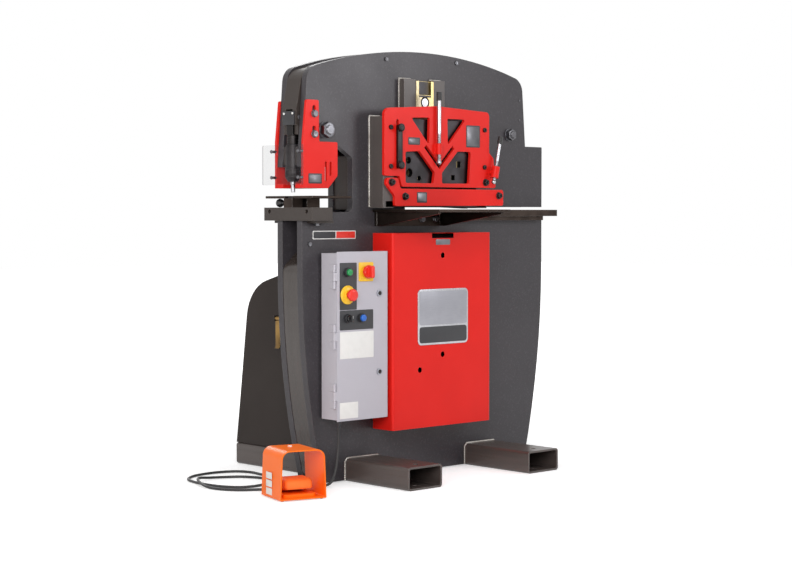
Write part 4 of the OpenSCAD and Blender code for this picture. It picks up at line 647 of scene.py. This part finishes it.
def plate(low, high, r, thick, y, edge=None):
    """A plate with round corners on a face that looks to the front."""
    return drawn(round_rect(low, high, r), thick, facing_front(0, 0, y), edge or 0.4 * thick)


print("shape helpers ready")

# %% [markdown]
# ## Nuts, studs and bolts
# A hexagon nut is not a plain prism: a cone trims its corners, so each side ends in a small arc. Spinning a
# ring whose radius follows the hexagon, under a rim whose height drops towards the corners, gives that arc.
# Socket screws get a rounded head with a hexagon sunk in it, and stud ends get thread.

# %% Fasteners
FRONT_Y, BACK_Y, IN_FRONT_Y = -140, -15, -115
GUARD_FRONT_Y, GUARD_Y = -220, -208
TIE, PIVOT = (-447, 1166), (430, 1176)
GUARD_SCREWS = [(-226, 1180), (-226, 1050), (222, 1184), (222, 1054)]
HOLD_SCREWS = [(-222, 997), (228, 1001), (-160, 950), (295, 955)]
STRIPPER_BOLTS = [(-501, 1217), (-501, 1151)]
SMALL_BOLTS = [(-173, 1413), (161, 1419), (-513, 793)]
TABLE_BOLTS_X, TABLE_BOLT_Z = (-192, -117, -14, 51), 873.5
PLUGS = [(487, 1302), (487, 1231)]
STUD_WASHER, THIN_WASHER = 5, 1.6


def hexagon(across):
    """Radius of a hexagon at an angle."""
    return lambda a: across / 2 / math.cos((a + math.pi / 6) % (math.pi / 3) - math.pi / 6)


def trimmed(across, height, low=False):
    """Height of a hexagon's trimmed rim at an angle."""
    side, rim = hexagon(across), 0.48 * across
    fall = math.tan(math.radians(30))
    return lambda a: (side(a) - rim) * fall if low else height - (side(a) - rim) * fall


def hex_head(across, height, at):
    side, rim = hexagon(across), 0.47 * across
    return spun([(0, 0), (side, 0), (side, trimmed(across, height)), (rim, height),
                 (rim * 0.72, height - 0.4), (0, height - 0.4)], at)


def hex_nut(across, height, bore, at):
    side, rim = hexagon(across), 0.47 * across
    return spun([(bore, 0), (rim, 0), (side, trimmed(across, height, True)), (side, trimmed(across, height)),
                 (rim, height), (bore + 1.6, height), (bore, height - 1.6), (bore, 0)], at)


def washer(outer, bore, thick, at):
    return spun([(bore, 0), (outer, 0), (outer, thick - 0.6), (outer - 0.6, thick), (bore, thick),
                 (bore, 0)], at)


def thread(radius, low, high, pitch):
    """Rings of a screw thread."""
    rings, z = [], low
    while z < high - pitch:
        rings += [(radius, z), (radius, z + 0.15 * pitch), (radius - 0.55 * pitch, z + 0.55 * pitch)]
        z += pitch
    return rings + [(radius, high - 0.5)]


def socket_head(width, height, key, at):
    r, hexed = width / 2, hexagon(key)
    return spun([(0, 0), (r, 0), (r, height - 1.4), (r - 0.45, height - 0.45), (r - 1.4, height),
                 (hexed, height), (hexed, 0.35 * height), (0, 0.35 * height)], at)


def washer_bolt(outer, thick, across, height, at):
    """A hexagon bolt's head on its washer."""
    return [washer(outer, 6, thick, at), hex_head(across, height, at @ upright(0, 0, thick))]


def frame_stud(spot, d, across):
    """A stud with a washer and a nut on both outer faces of the frame."""
    parts, r, tall = [], d / 2, 0.7 * d
    for at in (facing_front(*spot, FRONT_Y), facing_back(*spot, BACK_Y)):
        parts += [washer((across + 8) / 2, r, STUD_WASHER, at),
                  hex_nut(across, tall, r - 0.4, at @ upright(0, 0, STUD_WASHER)),
                  spun([(0, 0), (r - 0.5, 0)] + thread(r - 0.2, 4, 10 + tall, 2.5)
                       + [(r - 1.8, 11 + tall), (0, 11 + tall)], at)]
    return parts


tie = frame_stud(TIE, 30, 46) + [rod(15, 124, facing_back(*TIE, FRONT_Y + 0.5))]
pivot = frame_stud(PIVOT, 24, 36) + [rod(30, 75, facing_back(*PIVOT, IN_FRONT_Y))]
piece("tie_nuts", tie, "dull_zinc", "frame", "tie_bolt")
piece("pivot_nuts", pivot, "dull_zinc", "frame", "pivot_pin")

dark = [socket_head(16, 5.5, 6, facing_front(*spot, GUARD_FRONT_Y)) for spot in GUARD_SCREWS]
for spot in HOLD_SCREWS:
    dark += [washer(13, 6, THIN_WASHER, facing_front(*spot, GUARD_FRONT_Y)),
             socket_head(20, 9, 9, facing_front(*spot, GUARD_FRONT_Y - THIN_WASHER))]
dark += [rod(13, 67.8, facing_front(*spot, FRONT_Y), 1) for spot in HOLD_SCREWS[2:]]
piece("guard_screws", dark, "black_oxide", "frame", "machine_bolts")

pale = []
for spot in STRIPPER_BOLTS:
    for at in (facing_front(*spot, FRONT_Y - 10.6), facing_back(*spot, BACK_Y + 10.6)):
        pale += washer_bolt(12.5, 1.8, 20, 7.5, at)
pale += [hex_head(13, 5.2, facing_front(*spot, FRONT_Y)) for spot in SMALL_BOLTS]
for x in TABLE_BOLTS_X:
    pale += washer_bolt(12, THIN_WASHER, 19, 7, facing_front(x, TABLE_BOLT_Z, FRONT_Y - 10))
for y in (FRONT_Y - 15, BACK_Y + 15):
    pale.append(hex_head(19, 9, upright(-493, y, 861) @ Matrix.Rotation(math.pi, 4, "X")))
pale += [socket_head(7, 2.5, 3, facing_front(*spot, FRONT_Y)) for spot in PLUGS]
piece("frame_bolts", pale, "dull_zinc", "frame", "machine_bolts", "zinc")

# %% [markdown]
# ## Weld beads
# The shear housing, the guide bars and the tubes are welded to the plates, and the beads stay bright under
# thin paint. A bead is a row of overlapping ripples, so a tube whose radius swells and shrinks along its
# way, half sunk in the corner, reads as one, which a flat strip with a bump would not.

# %% Welds
RIPPLE_STEPS = 5
TUBE_X, TUBE_HALF, TUBE_TOP = 283.4, 78, 77


def bead(points, width, ripple=5.0):
    """A welded bead along straight runs between points."""
    line = []
    for a, b in zip(points, points[1:]):
        a, b = Vector(a), Vector(b)
        steps = max(2, int((b - a).length / ripple * RIPPLE_STEPS))
        line += [a.lerp(b, k / steps) for k in range(steps)]
    line.append(Vector(points[-1]))

    def radius(i):
        return width * (0.86 + 0.1 * math.sin(2 * math.pi * i / RIPPLE_STEPS) + 0.04 * math.sin(i * 0.37))
    return swept(line, radius)


y = FRONT_Y - 1
welds = [bead([(x, y, low), (x, y, high), (end, y, high)], width) for x, end, low, high, width in (
    (-251, -204, 914, 1218, 5), (247, 198, 914, 1218, 5), (-114.5, -60, 1220, 1351, 4.5),
    (81, 26, 1220, 1351, 4.5))]
around = [(-TUBE_HALF, 4), (-TUBE_HALF, 66), (-68, TUBE_TOP), (68, TUBE_TOP), (TUBE_HALF, 66), (TUBE_HALF, 4)]
for x in (-TUBE_X, TUBE_X):
    for y in (FRONT_Y - 1.5, BACK_Y + 1.5):
        welds.append(bead([(x + across, y, z) for across, z in around], 4.5, 6))
piece("weld_beads", welds, "weld_metal")

# %% [markdown]
# ## Punch station
# The ram ends in a knurled nut that holds the punch, behind a clear sheet on four spacers. The knurl is a
# ring whose radius ripples with the angle. The sheet needs a rim that is less clear than its faces, because
# light gathers at the cut edges of acrylic, so its rim takes a second material.

# %% Punch station pieces
PUNCH_X, MID_Y = -530, -77.5
COUPLING_Z = 996
BALL_R, BALL_Z = 14.3, 17
SHEET_X, SHEET_T, NOSE_X = -560, 5, -546
CLEAR_LOOK = {"Base Color": tint(96, 94, 98), "Specular IOR Level": 0.05}


def knurl(radius, teeth, depth):
    return lambda a: radius - depth * (0.5 - 0.5 * math.cos(teeth * a))


ridged = knurl(26, 36, 1.0)
coupling = spun([(9.4, 0), (17, 0), (25, 14), (26, 15), (26, 18), (25, 19), (ridged, 20), (ridged, 38),
                 (25, 39), (26, 40), (26, 44.6), (24.6, 46), (15.2, 46), (15.2, 14.2), (14.4, 14), (9.4, 8),
                 (9.4, 0)], upright(PUNCH_X, MID_Y, COUPLING_Z), 144)
piece("knurled_nut", [coupling], "black_oxide", "coupling", "coupling_nut")

ball = [(BALL_R * math.sin(t), BALL_Z - BALL_R * math.cos(t))
        for t in (0.65, 0.95, 1.25, 1.57, 1.9, 2.2, 2.5, 2.8)]
knob = spun([(0, -6), (6, -6), (6, 2), (8.2, 3)] + ball + [(3, 31.1), (0, 31.1)],
            facing_back(PUNCH_X, 927, -27.5))
piece("ball_knob", [knob], "black_gloss")

for name, alpha, rough in (("clear_face", 0.08, 0.04), ("clear_rim", 0.36, 0.2)):
    start, shader, where = surface(name, "clear_sheet", CLEAR_LOOK)
    haze = noise(start, where, 30)
    (alpha + (haze - 0.5) * 0.05).feed(shader, "Alpha")
    (rough + haze * 0.08).feed(shader, "Roughness")
sheet = drawn(round_rect((-40, 986), (165, 1116), 4), SHEET_T, facing_left(0, 0, SHEET_X), 0.8)
clear_sheet = piece("clear_sheet", [sheet], "clear_face", "stripping_gate", "punch_guard")
clear_sheet.data.materials.append(looks["clear_rim"])
for face in clear_sheet.data.polygons:
    face.material_index = 0 if abs(face.normal.x) > 0.95 else 1
screws, key = [], hexagon(3)
for at in (facing_left(y, z, -547) for y in (-145.3, -9.7) for z in (1010, 1095)):
    screws += [rod(4.5, 12.9, at), spun([(0, 0), (6, 0), (6, 1.4), (5.2, 2.8), (3, 3.6), (key, 3.6),
                                         (key, 1.8), (0, 1.8)], at @ upright(0, 0, 18.1))]
piece("guard_spacers", screws, "dull_zinc", "stripping_gate", "punch_guard", "zinc")

bands = [(20.1, 1117.2), (20.6, 1117.8)]
for z in range(1119, 1147, 7):
    bands += [(20.7, z), (20.7, z + 5), (20.15, z + 5.6), (20.15, z + 6.4)]
sleeve = spun(bands + [(20.6, 1147.8), (20.1, 1148.4), (20.1, 1117.2)], upright(PUNCH_X, MID_Y, 0), 48)
piece("ram_bands", [sleeve], "black_oxide", "ram")

nose = drawn(round_rect((49, 1181), (106, 1226), 3), 4, facing_left(0, 0, NOSE_X), 0.8)
piece("nose_plate", [nose], "black_shell", "beam", slot="plate_paint")
# These zinc screws take a white finish: a painted glint on each head.
nose_glint_screws = [socket_head(8, 2.6, 3.4, facing_left(y, 1218, NOSE_X - 3.8)) for y in (-56, -99)]
piece("nose_glint_screws", nose_glint_screws, "white_shell", "beam", slot="zinc")

# %% [markdown]
# ## Hold-downs
# Two hand screws press the stock on the table: one upright in front of the vee, one leaning in a red swivel
# collar. Each is a bright ground rod with thread where it runs in its nut and a ribbed black grip on top.
# The ribs are rings of the turned profile. A dark foot behind the red flat-bar hold-down narrows the slot
# that the bar goes through and darkens it: a painted shade in the slot.

# %% Hold-down screws and rod clamp
RIBS, GRIP_D = 4, 19
LEVER_AT = upright(256, -240, 1037) @ Matrix.Rotation(math.radians(12.6), 4, "Y")
BAR_FRONT_Y, BAR_BACK_Y, STUD_X = -231.3, -220.3, -194
SLOT_SHADE_Z, SLOT_SHADE_T = 913.4, 12


def hand_screw(name, at, low, top, d, threaded, grip_l, node):
    """A threaded rod from low to top, in millimetres along its axis, with a ribbed grip on it."""
    r = d / 2
    shaft = spun([(0, low), (r - 1, low), (r, low + 1)] + thread(r, low + 2, threaded, 3)
                 + [(r - 0.05, threaded), (r - 0.05, top), (0, top)], at, 28)
    piece(name, [shaft], "ground_steel", name, node)
    g, rib, end, ribs = GRIP_D / 2, (grip_l - 7) / RIBS, top + grip_l, []
    for k in range(RIBS):
        z = top + 3 + k * rib
        ribs += [(g, z), (g, z + 0.55 * rib), (g - 1.1, z + 0.7 * rib)]
    grip = spun([(0, top), (g - 1.5, top), (g, top + 1.5)] + ribs
                + [(g, end - 3), (g - 0.6, end - 1), (g - 3, end), (0, end)], at)
    piece(name + "_grip", [grip], "rubber", name, node)


hand_screw("angle_screw", upright(-12, -232, 0), 1070, 1276, 14, 1165, 30, "angle_clamp_screw")
hand_screw("bar_screw", LEVER_AT, -28, 102, 12, 42, 27, "bar_clamp_screw")

clamp = [plate((-201, 1045), (-180, 1188), 4, 11, BAR_BACK_Y, 2.5)]
rim = knurl(13.5, 12, 1.2)
for z in (1179, 1054):
    clamp += [spun([(0, 0), (10, 0), (rim, 1.5), (rim, 10), (11, 12.4), (7, 13), (6, 11.5), (0, 11.5)],
                   facing_front(STUD_X, z, BAR_FRONT_Y), 72),
              rod(5, 12.3, facing_front(STUD_X, z, GUARD_Y))]
piece("rod_clamp", clamp, "black_oxide", "rod_clamp", "rod_clamp_bar")

# A dark plate behind the hold-down, standing in for the shade in the bar's slot: a painted shade.
shade_plate = plate((-238, SLOT_SHADE_Z), (243, 935), 2, SLOT_SHADE_T, GUARD_Y + SLOT_SHADE_T, 1)
piece("slot_shade_foot", [shade_plate], "black_oxide")

# %% [markdown]
# ## Slider face
# The zinc slider shows bright yellow edges round a dark recess. The recess is in the solid already, so a
# thin dark liner in it, with a rounded rim, makes the recess dark.

# %% Slider liner
RECESS_Y, LIP_Y = -156.2, -168.2
liner = [plate((-44, 1299), (10, 1344), 2, 3, RECESS_Y, 0.8),
         plate((-45, 1290), (11, 1296.5), 2, 1.5, LIP_Y, 0.6)]
piece("slider_liner", liner, "plate_coat", "slider")

# %% [markdown]
# ## Control panel
# Buttons on a machine panel stand in ringed bezels on a black legend plate. The plates stay blank here, and
# each operator is its own turned or drawn piece, so that it can move. The stop is a mushroom on a yellow
# disc, the disconnect a red handle on a yellow square, and the selector has a pale pointer.

# %% Control panel pieces
DOOR_Y = -224.8
START, STOP, SELECTOR, RESET = (-423, 701), (-423, 627), (-423, 550), (-363, 550)
DISCONNECT = (-343, 701)
BUTTON_R = 11.4


def on_door(p, out=0.0):
    return facing_front(p[0], p[1], DOOR_Y - out)


legend = [plate((-457, 578), (-383, 732), 3, 0.9, DOOR_Y, 0.4),
          plate((-457, 512), (-310, 576.5), 3, 0.9, DOOR_Y, 0.4)]
piece("legend_plates", legend, "black_shell", "door")
notes = [plate((-456, 418), (-308, 506), 2, 0.5, DOOR_Y), plate((-457, 222), (-377, 275), 2, 0.5, DOOR_Y)]
piece("blank_plates", notes, "white_shell", "door")

collars, rim, b = [], knurl(15, 24, 0.5), BUTTON_R
for p in (START, SELECTOR, RESET):
    collars += [spun([(0, 0.5), (b, 0.5), (b, 2), (0, 2)], on_door(p)),
                spun([(b, 2), (b, 9), (b + 1, 10), (14, 10), (rim, 8.6), (rim, 1), (14.2, 0), (b, 0), (b, 2)],
                     on_door(p), 96),
                drawn(round_rect((-14, -18), (14, 18), 3), 30, facing_back(*p, DOOR_Y + 2.5), 1.5)]
piece("button_collars", collars, "black_shell", "door", "switch_bezels")
disc = spun([(b, 2), (b, 9.4), (13, 10), (16, 10), (17, 7), (29, 4.5), (31, 2.5), (31, 0), (b, 0), (b, 2)],
            on_door(STOP), 60)
square = drawn(round_rect((-31.5, -31.5), (31.5, 31.5), 5), 4, on_door(DISCONNECT), 1.2)
piece("yellow_plates", [disc, square], "yellow_shell", "door", "switch_bezels")

push_cap = [(0, 7), (11, 7), (11, 14), (10.5, 15.4), (9.4, 16.3), (6.6, 16.9), (0, 17)]
for name, p, finish in (("start", START, "green_shell"), ("reset", RESET, "blue_shell")):
    piece(name + "_cap", [spun(push_cap, on_door(p))], finish, name, name + "_button")
mushroom = spun([(0, 7), (11, 7), (11, 20), (18, 21), (20, 23), (20, 28), (19, 31), (16.5, 33), (12, 33.8),
                 (0, 34)], on_door(STOP), 60)
piece("stop_head", [mushroom], "red_shell", "stop", "stop_button")
turn = [spun([(0, 2.3), (11, 2.3), (11, 16), (10, 17.6), (0, 18)], on_door(SELECTOR)),
        drawn(round_rect((-4, -10), (4, 10), 3), 10.5, on_door(SELECTOR, 17.4), 2)]
piece("selector_grip", turn, "black_gloss", "selector", "selector_knob")
pointer = drawn(round_rect((-0.8, 1), (0.8, 8.6), 0.6), 0.4, on_door(SELECTOR, 27.7), 0.15)
piece("selector_pointer", [pointer], "white_shell", "selector")
rim = knurl(22, 8, 1.4)
handle = [spun([(0, 2.3), (11, 2.3), (11, 10), (rim, 10.4), (rim, 20), (20, 22), (0, 22)],
               on_door(DISCONNECT), 96),
          drawn(round_rect((-7, -20), (7, 20), 6), 18.4, on_door(DISCONNECT, 21.5), 4)]
piece("disconnect_grip", handle, "red_shell", "disconnect", "disconnect_handle")

key = hexagon(7)
latch_face = [(0, 4), (7.4, 4), (7.4, 4.6), (6.8, 5), (key, 5), (key, 4.4), (0, 4.4)]
for name, body, z in (("upper_latch_face", "latch_high", 629), ("lower_latch_face", "latch_low", 368.06)):
    piece(name, [spun(latch_face, on_door((-283, z)))], "black_oxide", body)

# %% [markdown]
# ## Inside the control box
# With the door open a contactor, a transformer and a row of terminals show on the panel. Their bodies are
# plain blocks in the CAD, so thin faces are drawn on them: a dark contactor front, the steel frame of the
# transformer's core and two screws on each terminal. They stay thin: the switches reach in behind the door.

# %% Control gear faces
GEAR_Y, TERMINAL_Y = -186, -178
TERMINALS_X, TERMINAL_W = range(-430, -290, 12), 10.6
contactor = [plate((-425, 536), (-381, 582), 3, 2.5, GEAR_Y, 0.8),
             plate((-411, 546), (-395, 572), 2, 1.2, GEAR_Y - 2.3, 0.5)]
piece("contactor_face", contactor, "black_shell")
core = [plate((-351, z), (-285, z + 14), 1, 2, GEAR_Y, 0.6) for z in (521, 572)]
core += [plate((x, 536), (x + 12, 571), 1, 1.6, GEAR_Y, 0.6) for x in (-351, -297)]
piece("transformer_core", core, "dull_zinc")
terminals = [plate((x, 379), (x + TERMINAL_W, 412.6), 1, 2, TERMINAL_Y, 0.7) for x in TERMINALS_X]
piece("terminal_blocks", terminals, "machine_coat")
gear_screws = [socket_head(6, 2, 2.4, facing_front(x + TERMINAL_W / 2, z, TERMINAL_Y - 1.8))
               for x in TERMINALS_X for z in (385, 406)]
gear_screws += [socket_head(7, 2.4, 3, facing_front(x, z, GEAR_Y))
                for x in (-419, -403, -387) for z in (526, 592)]
piece("gear_screws", gear_screws, "zinc_plate")

# %% [markdown]
# ## Plates and tags
# Machines of this kind carry a badge on the cover, a strip beside the control box and small tags on their
# guards. All of them stay blank here. Each is a thin plate, most with a raised field, so that its rim
# catches the light.

# %% Blank plates
COVER_Y, BADGE_Y, FLANGE_Y = -239, -241.2, -150.3
STRIP_Y, TAG_T = FRONT_Y - 0.9, 0.75
GUARD_TAGS = [((-146, 1124), (-91, 1149)), ((131, 1122), (199, 1198)), ((-105, 929), (-58, 965))]
GATE_TAG = [((-526, 990), (-469, 1023))]


def fields(boxes, rim=4):
    """The fields that a rim leaves inside boxes."""
    return [((a[0] + rim, a[1] + rim), (b[0] - rim, b[1] - rim)) for a, b in boxes]


PLATES = [  # name, corners, their radius, thickness, face, finish, body where it isn't the frame
    ("badge_rim", [((-120, 446), (120, 636))], 16, 2.4, COVER_Y, "ground_steel"),
    ("badge_field", [((-113, 514), (113, 629))], 10, 0.8, BADGE_Y, "plain_plate"),
    ("badge_band", [((-113, 453), (113, 508))], 10, 0.8, BADGE_Y, "black_shell"),
    ("strip_rim", [((-500, 808), (-312, 836))], 3, 1.0, FRONT_Y, "white_shell"),
    ("strip_dark", [((-497, 811), (-402, 833))], 2, 0.5, STRIP_Y, "black_shell"),
    ("strip_red", [((-398, 811), (-315, 833))], 2, 0.5, STRIP_Y, "red_shell"),
    ("guard_tags", GUARD_TAGS, 3, 0.8, GUARD_FRONT_Y, "black_shell"),
    ("guard_tag_fields", fields(GUARD_TAGS), 2, 0.4, GUARD_FRONT_Y - TAG_T, "dull_zinc"),
    ("stripper_tag", GATE_TAG, 3, 0.8, FLANGE_Y, "black_shell", "stripping_gate"),
    ("stripper_tag_field", fields(GATE_TAG), 2, 0.4, FLANGE_Y - TAG_T, "dull_zinc", "stripping_gate"),
    ("notch_tag", [((-34, 786), (34, 805))], 3, 0.8, COVER_Y, "dull_zinc"),
]
for name, boxes, r, thick, y, *look in PLATES:
    piece(name, [plate(low, high, r, thick, y) for low, high in boxes], *look)

# %% [markdown]
# ## Cord glands
# A cord leaves the box through a gland: a hexagon that screws into the wall, a domed cap, and a soft taper
# that keeps the cord from kinking. The pedal's end has a longer ribbed taper. Both are turned profiles.

# %% Glands
GLAND_X, GLAND_Y = -441, -200
PEDAL_AT = upright(-696, -277, 0) @ Matrix.Rotation(math.radians(-16), 4, "Z")
box_gland = [spun([(0, 0), (6.2, 0), (7.2, 3), (8.6, 6), (10.6, 11), (11, 15), (11, 17), (0, 17)],
                  upright(GLAND_X, GLAND_Y, 190)),
             hex_nut(22, 12, 6, upright(GLAND_X, GLAND_Y, 207)), rod(8, 12, upright(GLAND_X, GLAND_Y, 217))]
taper = []
for k in range(5):
    r, z = 9 - 0.5 * k, 3.4 * k
    taper += [(r, z + 1), (r, z + 3), (r - 1, z + 3.4)]
pedal_gland = spun([(0, 0), (9, 0)] + taper + [(6.4, 18), (0, 18)],
                   PEDAL_AT @ upright(0, 55, 16) @ Matrix.Rotation(-math.pi / 2, 4, "X"))
piece("cord_glands", box_gland + [pedal_gland], "black_shell", "frame", "cable_glands")

# %% [markdown]
# ## Treadle
# The foot rests on a cast pad under the orange hood, with soft shoulders all round. The solid is the same
# profile cut square at both sides. Here the profile is stacked along its width and shrinks towards both
# ends on a quarter circle, which rounds the shoulders.

# %% Treadle pad
TREAD_HALF, SHOULDER, TREAD_LOW = 47, 14, 18.5
LEAST_REACH, SOFT_ANGLE = 18.0, math.radians(60)
PROFILE = [(30, 18.5), (44, 19.5), (44, 52), (40, 58), (30, 62.5), (15, 65.5), (0, 65.2), (-30, 62.5),
           (-40, 59.5), (-46, 54), (-48.6, 44), (-48.8, 34), (-47, 31.4)]
middle = sum((Vector(p) for p in PROFILE), Vector((0, 0))) / len(PROFILE)
slices = []
for side in (-1, 1):
    for k in range(6):
        t = math.pi / 2 * k / 5
        x = side * (TREAD_HALF - SHOULDER + SHOULDER * math.cos(t))
        slices.append((x, SHOULDER * (1 - math.sin(t))))
slices.sort()
points = []
for x, by in slices:
    for q in PROFILE:
        away = Vector(q) - middle
        spot = middle + away * (1 - by / max(LEAST_REACH, away.length))
        points.append(PEDAL_AT @ Vector((x, spot.x, max(spot.y, TREAD_LOW))))
pad = points, tube_faces(len(slices), len(PROFILE))
piece("treadle_pad", [pad], "pad_coat", "foot_lever", "treadle", sharp=SOFT_ANGLE)

cap = spun([(0, 156), (7, 156), (7, 159), (6, 161), (3, 162), (0, 162)], PEDAL_AT @ upright(0, 30, 0))
pedal_side = PEDAL_AT @ facing_left(0, 0, -79)
strips = [drawn(round_rect((-36, z), (10, z + 21), 2), 0.5, pedal_side, 0.2) for z in (12, 37, 62)]
piece("pedal_cap", [cap] + strips, "white_shell")

# %% [markdown]
# ## Rear cover latch
# A plated lever hangs from two ears on the cover's left side. It is bent up from strip, with a rolled eye
# round its pin and a lip at the bottom for a finger. Its side view is drawn out to its width.

# %% Latch lever
LATCH_X, LATCH_Y, LATCH_Z = -367, 200.3, 530
LEVER_W, PIN_L = 24, 34.6
STRIP = [(-3, -96), (-8, -104), (-5, -104), (1, -98), (3, -88), (3, -8), (-3, -8)]
lever = drawn([Vector(p) for p in STRIP], LEVER_W, Matrix((
    (1, 0, 0, LATCH_X), (0, 0, 1, LATCH_Y - LEVER_W / 2), (0, 1, 0, LATCH_Z), (0, 0, 0, 1))), 0.8)
eye = rod(6.5, LEVER_W, facing_back(LATCH_X, LATCH_Z, LATCH_Y - LEVER_W / 2), 0.9)
pin = rod(3.9, PIN_L, facing_back(LATCH_X, LATCH_Z, LATCH_Y - PIN_L / 2), 0.7)
piece("latch_lever", [lever, eye, pin], "old_brass", "hood_lever", "cover_latch")

# %% [markdown]
# ## Power unit
# Under the rear cover a finned motor drives a pump, and a hose carries the oil to the cylinder. The fins are
# a ring whose radius steps with the angle, and the hose is a smooth curve with a ferrule at each end.

# %% Motor and hose
MOTOR_AT = upright(0, 210, 368) @ Matrix.Rotation(math.pi / 2, 4, "Y")
FIN_R, FIN_COUNT, FIN_DEPTH = 90, 30, 9
HOSE_D, HOSE_STEPS = 24, 10
HOSE_ROUTE = [(-115, 154.6, 338), (-115, 142.6, 338), (-115, 124.6, 338), (-135, 68.8, 341.5),
              (-155, 28.9, 325), (-155, 3.9, 325), (-155, -11.1, 325)]


def fin(a):
    """Radius of the finned case at an angle."""
    return FIN_R - (FIN_DEPTH if math.sin(FIN_COUNT * a) < 0 else 0)


case = [(0, -60), (70, -60), (84, -56), (84, -34), (fin, -30), (fin, 220), (84, 224), (84, 246), (78, 250),
        (0, 250)]
fan_cover = [(0, 250), (83, 250), (83, 300), (76, 309), (60, 309), (58, 306), (0, 306)]
motor_parts = [spun(case, MOTOR_AT, 240), spun(fan_cover, MOTOR_AT, 60),
               drawn(round_rect((30, 155), (140, 265), 8), 65, upright(0, 0, 438), 6)]
motor_parts += [drawn(round_rect((x, 130), (x + 24, 290), 4), 52, upright(0, 0, 266.2), 2)
                for x in (-10, 180)]
piece("finned_motor", motor_parts, "machine_coat", "frame", "motor")

hose = soft_tube("oil_hose", smooth_line(HOSE_ROUTE, HOSE_STEPS), HOSE_D, "pressure_hose")
hose.data.materials.append(looks["rubber"])
ferrule = [(0, 0), (13.2, 0), (13.2, 3), (12.6, 4), (13.2, 5), (13.2, 14), (12.4, 15), (13.2, 16), (13.2, 20),
           (0, 20)]
ferrules = [spun(ferrule, at) for at in (facing_front(-115, 338, 154.5), facing_back(-155, 325, -11))]
piece("hose_ferrules", ferrules, "zinc_plate")
